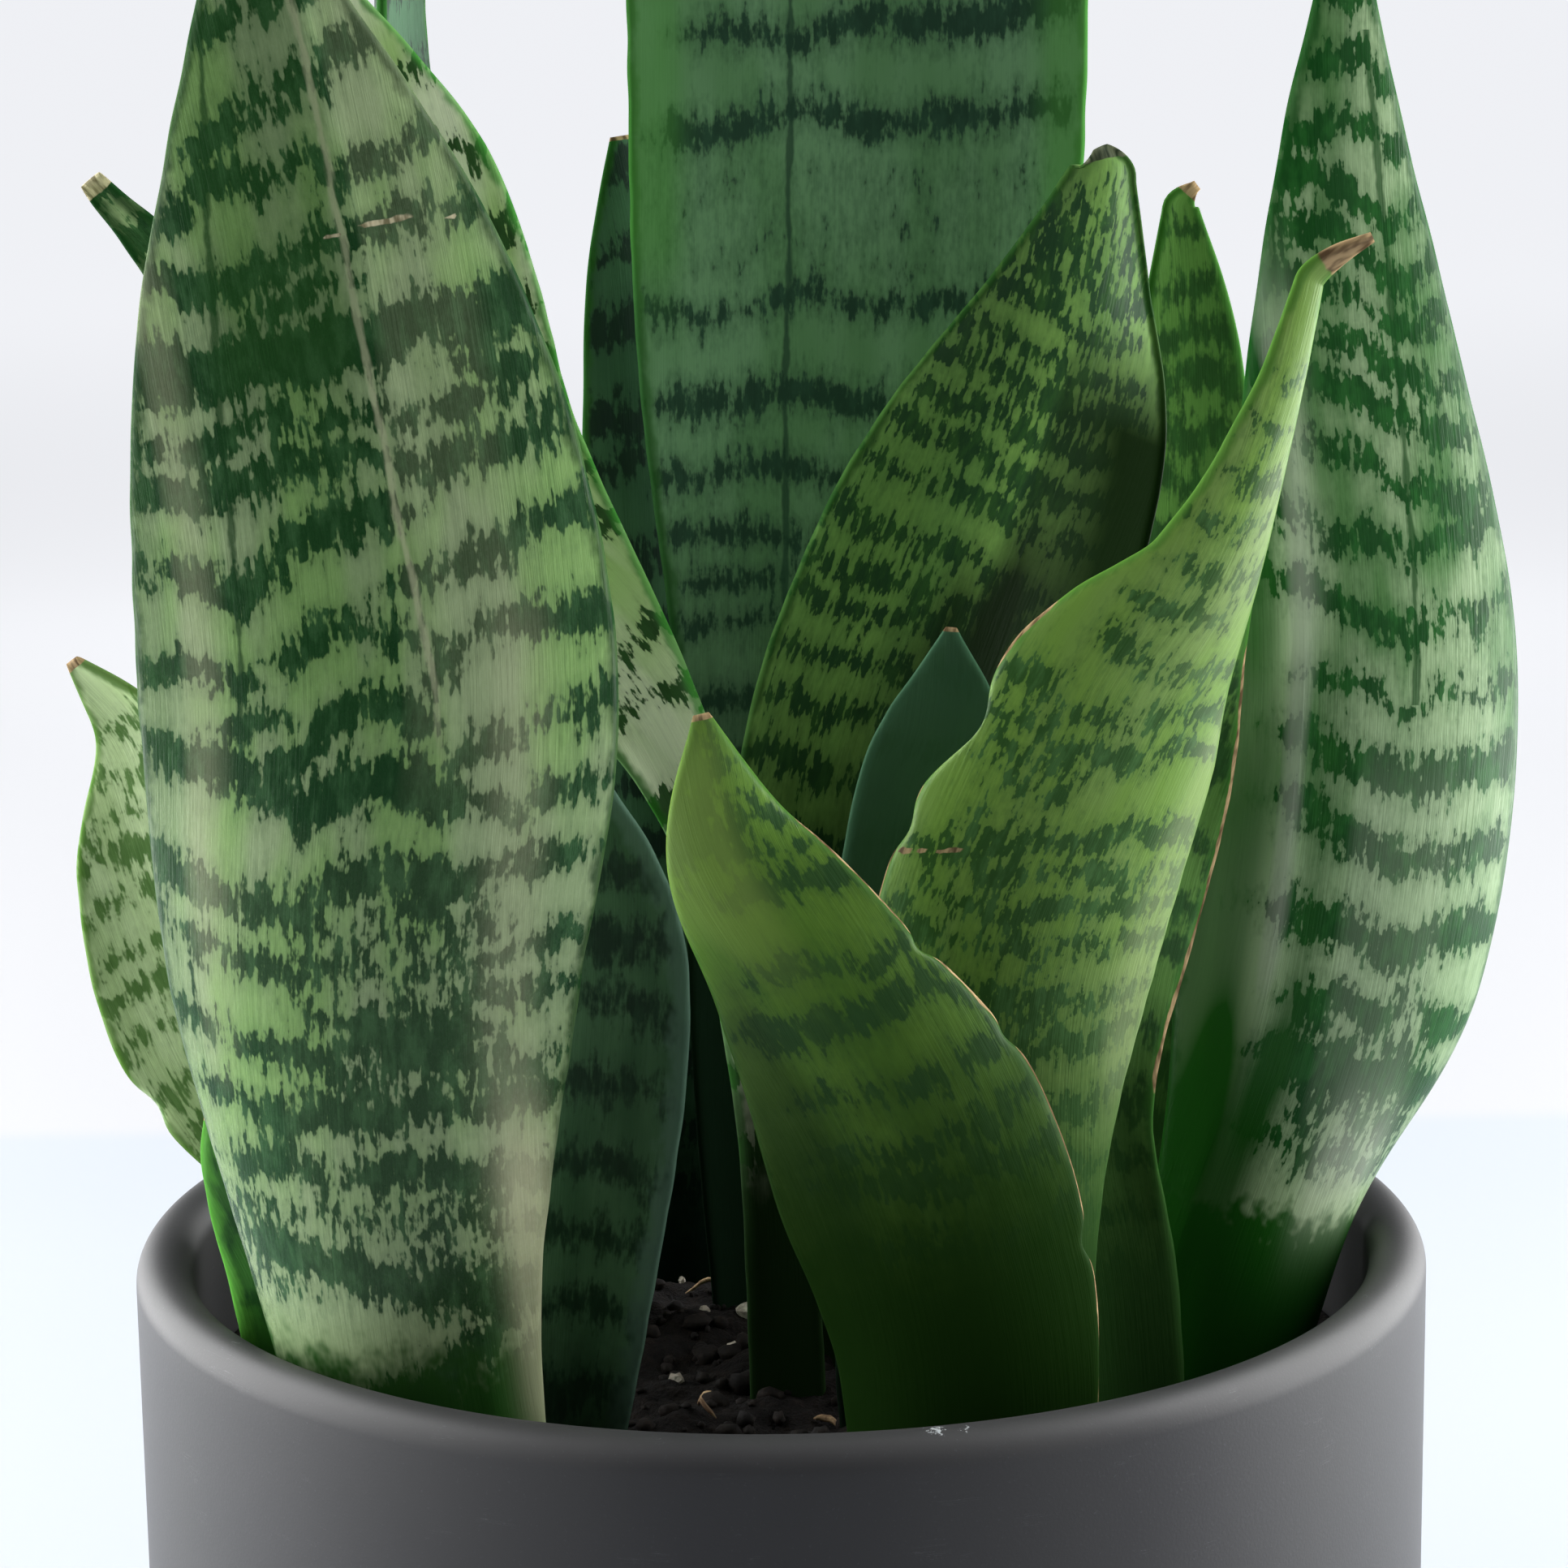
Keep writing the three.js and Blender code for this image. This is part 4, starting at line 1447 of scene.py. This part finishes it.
# The bands of the leaves in front: the thickness of each, then points of its middle line as
# place across and height from the root
FRONT_LEFT_BANDS = (
    (3.4, (-2, 205), (3, 205)), (2.6, (-7, 183), (-3, 182), (0, 181), (5, 181), (9, 180)),
    (2.6, (-8, 199.5), (0, 200), (8, 199)), (2.4, (-9, 195.5), (0, 196.5), (9, 196)),
    (2.6, (-10, 191.5), (0, 191), (10, 192)), (3.4, (-8, 186), (0, 186), (7, 187)),
    (3.0, (-13, 177), (-9, 176), (-4, 173.5), (0, 172.5), (5, 172), (9, 168)),
    (2.6, (-13, 166), (-9, 164.5), (-4, 163), (0, 165), (6, 164), (10, 165), (14, 162)),
    (2.6, (-17, 158), (-10, 158), (-3, 157), (2, 156), (8, 154.5), (13, 154.5), (18, 157)),
    (1.6, (-2, 152.5), (3, 152), (5, 151)),
    (6.0, (-21, 149), (-15, 146.5), (-8, 147.5), (-3, 147), (2, 146), (8, 147), (13, 145.5), (20, 147)),
    (2.4, (-20, 142), (-16, 142.5), (-12, 143)),
    (2.4, (-22, 137), (-15, 140), (-10, 139), (-4, 138.5), (4, 139.5), (9, 140.5), (13, 138.5), (21, 139)),
    (3.0, (-20, 135), (-13, 134), (-8, 133), (-4, 134), (0, 136), (6, 135.5), (11, 133), (22, 135)),
    (2.4, (-24, 128), (-17, 126.5), (-13, 124.5), (-8, 123), (-4.5, 122.5)),
    (4.2, (-3, 129), (2, 130), (7, 127), (12, 122.5)), (3.0, (13, 122.5), (17, 124.5), (23, 126.5)),
    (2.4, (-24, 118), (-17, 117.5), (-12, 117), (-7, 114)), (3.4, (-4, 117), (0, 118.5), (4, 118), (8, 115)),
    (2.2, (13, 112), (17, 113), (24, 114)), (2.0, (-24, 110), (-17, 108), (-12, 106.5), (-8, 105)),
    (3.2, (-4, 109), (0, 110.5), (4, 109), (8, 103.5)), (2.0, (10, 108), (15, 106.5)),
    (2.4, (-22, 103), (-15, 100), (-9, 102)), (5.5, (-7, 101), (-2, 103), (3, 101.5), (6, 98)),
    (4.0, (9, 99), (12, 100.5), (17, 102), (24, 103)), (2.2, (-22, 96), (-16, 95), (-11, 93)),
    (4.2, (-10, 91.5), (-6, 93), (-2, 93), (2, 92), (4, 90)),
    (3.0, (4, 90), (7, 86.5), (11, 87.5), (17, 88), (23, 90)), (2.0, (5, 81), (11, 82), (17, 82), (22, 84)),
    (5.5, (-11, 75), (-6, 74.5), (0, 75.5)),
    (2.6, (-14, 72.5), (-8, 72), (0, 74), (4, 72.5), (10, 72), (16, 73), (20, 75)),
    (2.6, (-19, 66), (-14, 67), (-8, 66.5), (0, 65.5), (4, 67), (8, 64), (13, 66), (17, 67)),
    (1.8, (-22, 86), (-16, 84.5), (-12, 83)), (1.8, (-21, 79.5), (-15, 78)), (1.6, (-20, 71), (-15, 70)),
    (1.8, (-18, 50.5), (-12, 51)), (1.6, (-17, 36), (-12, 35)),
    (3.2, (-18, 57), (-14, 58), (-10, 58.5), (-6, 59.5), (-2, 60), (3, 58), (6, 60), (10, 59.5), (15, 58.5)),
    (5.0, (-18, 43), (-13, 44), (-8, 45), (-2, 46.5), (3, 48), (8, 49.5), (13, 50)),
    (3.4, (-13, 41), (-10, 38), (-5, 34.5), (0, 33)), (6.0, (-16, 28), (-8, 24), (4, 22), (10, 26)),
)
RIGHT_BANDS = (
    (2.6, (-4, 182), (0, 180), (4, 182)), (2.4, (-9, 173), (-4, 170), (-2, 174), (3, 173)),
    (2.2, (-10, 166), (-5, 163), (0, 167), (4, 165), (11, 165.5)),
    (1.8, (-9, 158), (-4, 154.5), (1, 160), (5, 161), (12, 163)),
    (1.8, (-10, 151), (-6, 149), (-4, 148), (1, 154), (6, 155), (13, 156.5)),
    (1.8, (-12, 146), (-7, 143.5), (-4, 142.5), (1, 147.5), (6, 149), (13, 151)),
    (2.0, (-13, 137), (-9, 136), (-4, 138), (0, 142), (5, 142), (12, 142.5)),
    (1.6, (-12, 131), (-8, 131), (-4, 133), (1, 136.5), (5, 138), (12, 140.5)),
    (1.8, (-15, 125.5), (-11, 123), (-7, 125.5), (-4, 124.5), (0, 128), (5, 131), (12, 134)),
    (1.8, (-16, 121.5), (-12, 119), (-8, 121), (-4, 117.5), (0, 119.5), (5, 121.5), (12, 124.5)),
    (1.6, (-17, 113), (-12, 110), (-8, 111.5), (-4, 108.5), (0, 111), (5, 113.5), (12, 116.5)),
    (1.4, (-16, 103.5), (-12, 102), (-7, 103), (-4, 101), (0, 102.5), (7, 105)),
    (3.2, (-18, 95.5), (-10, 93.5), (-4, 92.8), (2, 94.2), (6, 96.5), (9, 98.5)),
    (2.6, (-17, 85.5), (-10, 85), (-4, 83.5), (1, 86), (5, 88), (9, 90)),
    (3.6, (-17, 76.5), (-8, 74.5), (-4, 74), (0, 75.5), (5, 76), (9, 77.5)),
    (2.6, (-16, 65), (-12, 66), (-8, 68), (-4, 66.5), (0, 67.5), (5, 67)),
    (5.0, (-15, 57.5), (-8, 58.5), (0, 59.5), (6, 59)), (2.0, (-14, 47), (-8, 47.5), (0, 49), (6, 50)),
)
FRONT_BANDS = (
    (1.5, (-7, 98), (-3, 99.5), (1, 101.5)), (1.5, (-8, 94), (-4, 95), (1, 97)),
    (3.8, (-10, 89), (-5, 90.5), (0, 92)),
    (1.8, (-12, 80.5), (-8, 79), (-5, 79.5), (-2, 81.5), (2, 83.5), (6, 84)),
    (3.4, (-14, 72.5), (-10, 74), (-6, 75.5), (-1, 75), (4, 77), (8, 79)),
    (1.8, (-16, 66), (-12, 66.5), (-7, 65.5), (-2, 66.5), (2, 68), (7, 70)),
    (1.8, (-17, 60.5), (-12, 61.5), (-8, 60), (-3, 59.5), (2, 60), (8, 63)),
    (2.0, (-18, 56), (-12, 55.5), (-7, 55.5), (-2, 56.5), (4, 58), (9, 60)),
    (2.4, (-19, 50), (-14, 48.5), (-9, 47), (-3, 48.5), (3, 50), (9, 52)),
    (2.4, (-19, 43), (-13, 42.5), (-7, 42.5), (0, 43), (9, 45)),
    (2.6, (-19, 36), (-10, 35), (0, 36), (9, 37)), (3.0, (-17, 29), (0, 28), (12, 30)),
)
RIGHT_LEANING_BANDS = (
    (0.9, (-3, 146), (0, 144), (2, 145)), (0.9, (-4, 140), (0, 138), (3, 139)),
    (1.0, (-5, 134), (-2, 132), (2, 133)), (1.0, (-3, 129), (1, 127), (4, 127)),
    (1.0, (-6, 124), (-2, 122), (3, 121)), (1.1, (-4, 118), (0, 117), (5, 115)),
    (1.2, (-15, 117.5), (-8, 115), (-4, 112), (1, 110), (6, 110)),
    (1.5, (-15, 110.5), (-6, 108), (-3, 105.5), (1, 103), (5, 102), (9, 103), (13, 104)),
    (1.6, (-15, 105.5), (-8, 103), (-4, 100.5), (1, 99), (5, 98), (9, 99), (13, 98)),
    (1.4, (2, 96.5), (8, 95.5), (13, 96.5)), (1.2, (3, 93), (8, 93), (12, 93.5)),
    (2.0, (-15, 95), (-7, 92.5), (-4, 90.5), (0, 89), (3, 88), (6, 85.5), (9, 87)),
    (1.8, (-15, 89), (-6, 86.5), (-3, 87), (0, 85.5), (3, 84), (6, 82.5), (9, 84), (13, 83)),
    (1.8, (-15, 85.5), (-7, 83), (-3, 82), (0, 80.5), (3, 79.5), (7, 79), (11, 80)),
    (1.8, (-15, 81.5), (-8, 79), (-5, 78), (-1, 76.5), (3, 76), (8, 75.5), (14, 77)),
    (2.4, (-15, 73.5), (-9, 71), (-4, 71.5), (0, 70), (3, 70.5), (10, 72)),
    (3.0, (-15, 67.5), (-9, 65), (-5, 66), (-1, 64.5), (8, 65)),
    (3.0, (-15, 59.5), (-8, 57), (-3, 58), (8, 57)), (3.4, (-9, 50), (-5, 51), (8, 50)),
    (3.0, (-10, 43), (0, 44), (10, 43)), (3.0, (-10, 35), (0, 36), (10, 35)),
)
CUPPED_BANDS = (
    (2.0, (-8, 155), (-2, 152), (4, 150)), (1.8, (-10, 150), (-5, 148.5), (0, 150), (5, 147), (10, 148)),
    (1.8, (-12, 146), (-7, 147), (-2, 144), (3, 142), (9, 143)),
    (2.0, (-13, 141), (-8, 142), (-3, 139), (4, 138), (10, 139)),
    (2.4, (-14, 136), (-9, 137.5), (-4, 135), (2, 134), (10, 136)),
    (1.8, (-15, 131), (-10, 130.5), (-6, 132), (-2, 129.5), (4, 130), (12, 131)),
    (2.0, (-17, 127), (-12, 125.5), (-8, 126.5), (-3, 124.5), (3, 125), (12, 126)),
    (1.6, (-19, 121.5), (-14, 120), (-9, 121), (-4, 121), (6, 119), (15, 121)),
    (1.8, (-20, 114), (-14, 113.5), (-9, 114), (-4, 114.5), (6, 112), (18, 114)),
    (2.4, (-20, 108), (-15, 107), (-9, 109), (-5, 109), (18, 107)),
    (2.6, (-20, 104.5), (-14, 103.5), (-8, 105), (-4, 106), (18, 102)),
    (1.8, (-20, 98), (-13, 97.5), (-7, 98.5), (18, 96)), (1.8, (-20, 92.5), (-13, 92), (-8, 93), (18, 90)),
    (1.6, (-20, 87), (-12, 86), (16, 85)), (2.0, (-19, 80), (-10, 79), (14, 78)),
    (2.0, (-18, 73), (-8, 73), (12, 72)), (2.0, (-17, 66), (-6, 66), (12, 66)),
)
TALL_BACK_BANDS = (
    (2.0, (-20, 172), (-15, 172.5), (-8, 171.5), (-1, 173)),
    (3.8, (0, 174), (6, 173.5), (12, 173), (20, 175), (24, 175)),
    (2.8, (-22, 160), (-16, 160.5), (-10, 162.5), (-4, 163.5), (1, 161.5), (8, 162), (14, 162.5), (24, 164)),
    (1.8, (-25, 139.5), (-17, 138), (-10, 140.5), (-6, 141.5), (-2, 140.5), (3, 140), (10, 140.5), (24, 143)),
    (3.0, (-22, 128.5), (-14, 128.5), (-9, 130.5), (-4, 129.5), (2, 128.5), (8, 130), (22, 132)),
    (2.0, (-24, 119.5), (-16, 120), (-9, 121.5), (-4, 120), (2, 119.5), (20, 122)),
    (1.6, (-22, 113), (-12, 113), (-6, 112), (20, 114)),
    (1.8, (-20, 107), (-12, 107.5), (-6, 108), (18, 106)),
    (2.0, (-22, 101.5), (-14, 102.5), (-8, 103), (18, 101)), (2.0, (-20, 92), (-10, 93), (18, 92)),
    (2.0, (-18, 84), (-8, 84), (18, 84)), (2.4, (-18, 75), (0, 76), (18, 75)),
    (2.4, (-18, 66), (0, 66), (18, 66)),
)


def leaves() -> list[Leaf]:
    """Lists the sixteen leaves with their marks and finishes.

    Returns:
        The leaves.
    """

    def leaf(name: str, slot: str, finish: LeafFinish, pattern: Pattern, **form: object) -> Leaf:
        """Joins a leaf's parts, with its rows read by its name."""
        blade = Blade(np.array(ROWS[name], float), seed=pattern.seed, **form)
        return Leaf(name, slot, blade, pattern, finish)

    def plain(*bands: float, **marks: object) -> Pattern:
        """Makes a pattern of evenly laid bands, whose last number is the seed."""
        return Pattern(evenly(*bands), seed=bands[-1], **marks)

    return [
        leaf(
            "front_left_leaf", "leaf_banded", BANDED,
            Pattern(
                FRONT_LEFT_BANDS, ((-13, 6, 68, 90, -0.35), (-14, 4, 46, 56, -0.6), (8, 17, 45, 54, -0.3)), 1,
                fold_highlight=((104, -7.4), (115, -5.8), (130, -3.8), (150, -2.7), (186, -2.5)),
                dark_line=((100, 13.5), (115, 13.2), (140, 12.5), (160, 10.3), (178, 7.3), (184, 6)),
                dry_tip=0.012,
                # Painted highlights along both sides and beside the fold, and painted shade in the middle and
                # near the left edge.
                painted_light=(
                    (17.4, 18.6, 92, 150, 0.2), (15.2, 16.4, 70, 86, 0.12), (-16, -14, 55, 112, 0.2),
                    (-17.5, -15.5, 30, 56, 0.5), (-13, -5, 110, 186, 0.08), (-1, 10, 150, 200, -0.35),
                    (0, 11, 112, 150, -0.16), (-10, 10, 44, 92, 0.02), (12, 18, 24, 60, -0.14),
                    (22, 27, 60, 150, -0.3),
                ),
                scars=(
                    (-14, 157.4, -6, 158, 0.17), (-7, 158.1, -1, 157.2, 0.15),
                    (-9.8, 158.2, -8.2, 158.2, 0.2),
                ),
            ),
            steps=360, across_steps=44, ridges=((-12.0, -2.0, 0.4, 1.5),),
        ),
        leaf(
            "left_leaning_leaf", "leaf_banded", GREYISH, plain(30, 185, 9, 2.0, 34, 2, 2, dry_tip=0.01),
            wave=(1.0, 2.5, 0.5),
        ),
        leaf("back_left_tall_leaf", "leaf_dark", SHADED_BACK, plain(30, 230, 8, 3.4, 16, 2, 3, dry_tip=0.01)),
        leaf("left_hooked_leaf", "leaf_banded", BANDED, plain(30, 165, 7, 3.0, 22, 2, 4, dry_tip=0.025)),
        leaf(
            "left_leaf", "leaf_light", PALE, plain(24, 108, 5, 1.6, 30, 3, 5, dry_tip=0.02),
            wave=(1.0, 2.0, 0.3), nicks=((Edge.LEFT, 62, 1.2, 2.0), (Edge.RIGHT, 70, 0.8, 2.4)),
        ),
        leaf("left_scale_leaf", "leaf_dark", SCALE, plain(20, 58, 9, 2.0, 12, 1, 6, dry_tip=0.02)),
        leaf(
            "tall_back_leaf", "leaf_dark", TALL,
            Pattern(
                TALL_BACK_BANDS + evenly(186, 318, 12, 3.4, 52, 2, 7), ((-24, 22, 143, 157, -1.7),), 7,
                dark_line=((96, -8), (176, -8), (300, -4)), dry_tip=0.008,
                # Painted light shining through the upper edges, in bright green.
                painted_light=((24, 28, 150, 340, 0.35), (-28, -23, 150, 340, 0.35)),
            ),
            steps=420, across_steps=34,
        ),
        leaf("dark_back_leaf", "leaf_dark", SHADED_BACK, plain(30, 158, 9, 3.2, 20, 2, 8, dry_tip=0.01)),
        leaf(
            "cupped_leaf", "leaf_light", CUPPED,
            Pattern(
                CUPPED_BANDS, ((-14, 10, 148, 160, -0.2),), 9, dry_tip=0.02,
                # Painted shade on the hollow right side, in its lower middle and at its top.
                shade=((Edge.RIGHT, 22.0, 30, 146),),
                painted_light=(
                    (4, 22, 40, 112, -0.75), (-2, 3, 84, 107, -0.7), (-7, -3, 84, 100, -0.35),
                    (-16, 16, 142, 170, -0.15),
                ),
            ),
            wave=(1.0, 2.0, 0.2), steps=300, curl=(-1.2, 0.0, 0.0, 0.965), pinch=0.65,
        ),
        leaf("young_leaf", "leaf_dark", YOUNG, plain(40, 104, 9, 2.0, 14, 1, 10, dry_tip=0.012)),
        leaf(
            "right_leaning_leaf", "leaf_light", LEANING,
            Pattern(
                RIGHT_LEANING_BANDS, (), 11, dry_tip=0.035, dry_edges=((Edge.RIGHT, 70, 112, 0.5),),
                # Painted highlights on its right side.
                painted_light=((-18, -13, 66, 130, 0.2), (-8, -3, 120, 150, 0.12)),
                scars=((16.0, 81.9, 8.5, 84.6, 0.2),),
            ),
            curl=(5.5, 0.0, 0.0, 0.955), steps=300,
            nicks=((Edge.RIGHT, 84, 1.0, 2.4), (Edge.RIGHT, 96, 2.6, 5.0)),
        ),
        leaf(
            "front_leaf", "leaf_light", YELLOW,
            Pattern(
                FRONT_BANDS, ((-1, 8, 98, 108, 0.6),), 12, dry_tip=0.01,
                dry_edges=((Edge.LEFT, 8, 100, 0.4),),
                # Painted highlight at the upper left, and painted shade on the lower left and on the right.
                painted_light=((1, 9, 93, 104, 0.4), (8, 17, 8, 82, -0.7), (-18, -6, 40, 84, -0.25)),
            ),
            wave=(0.9, 2.0, 0.6), steps=260,
            nicks=((Edge.LEFT, 78, 0.8, 1.6), (Edge.LEFT, 66, 0.6, 1.4), (Edge.LEFT, 45, 0.9, 1.6)),
        ),
        leaf("shaded_leaf", "leaf_dark", SHADED, plain(24, 98, 9, 3.2, 26, 2, 13)),
        leaf(
            "right_leaf", "leaf_banded", CHEVRON,
            Pattern(
                RIGHT_BANDS, ((-13, 3, 50, 63, -0.4),), 14, dry_tip=0.01,
                dark_line=((96, -4), (150, -4), (180, -2)),
                # Painted highlights beside the fold and in the middle, and painted shade over the left part.
                painted_light=(
                    (-8, 3, 62, 88, 0.1), (-10, -4, 47, 47.5, 0.35), (9, 9.4, 62, 140, 0.36),
                    (10, 11, 66, 100, 0.15), (13, 24, 20, 40, -0.6), (12.5, 24, 50, 130, -0.75),
                    (6, 12, 20, 56, -0.9), (5.5, 6, 60, 96, -0.5),
                ),
            ),
            steps=360, across_steps=44, ridges=((9.5, 9.0, 0.4, 1.6),),
        ),
        leaf(
            "wavy_leaf", "leaf_light", BACK,
            plain(24, 112, 8, 3.0, 16, 2, 15, dry_edges=((Edge.RIGHT, 54, 112, 0.45),)), wave=(1.2, 2.5, 0.1),
        ),
        leaf(
            "right_back_leaf", "leaf_dark", BACK, plain(30, 154, 6, 3.0, 22, 2, 16, dry_tip=0.02),
            curl=(2.2, 0.0, -0.4, 0.965), pinch=0.6,
        ),
    ]


def main() -> None:
    """Builds the pot, the soil, the leaves and the studio."""
    logging.basicConfig(level=logging.INFO, format="%(name)s: %(message)s")
    Pot().build()
    Soil().build()
    for leaf in leaves():
        leaf.build()
    Studio().build()


if __name__ == "__main__":
    main()
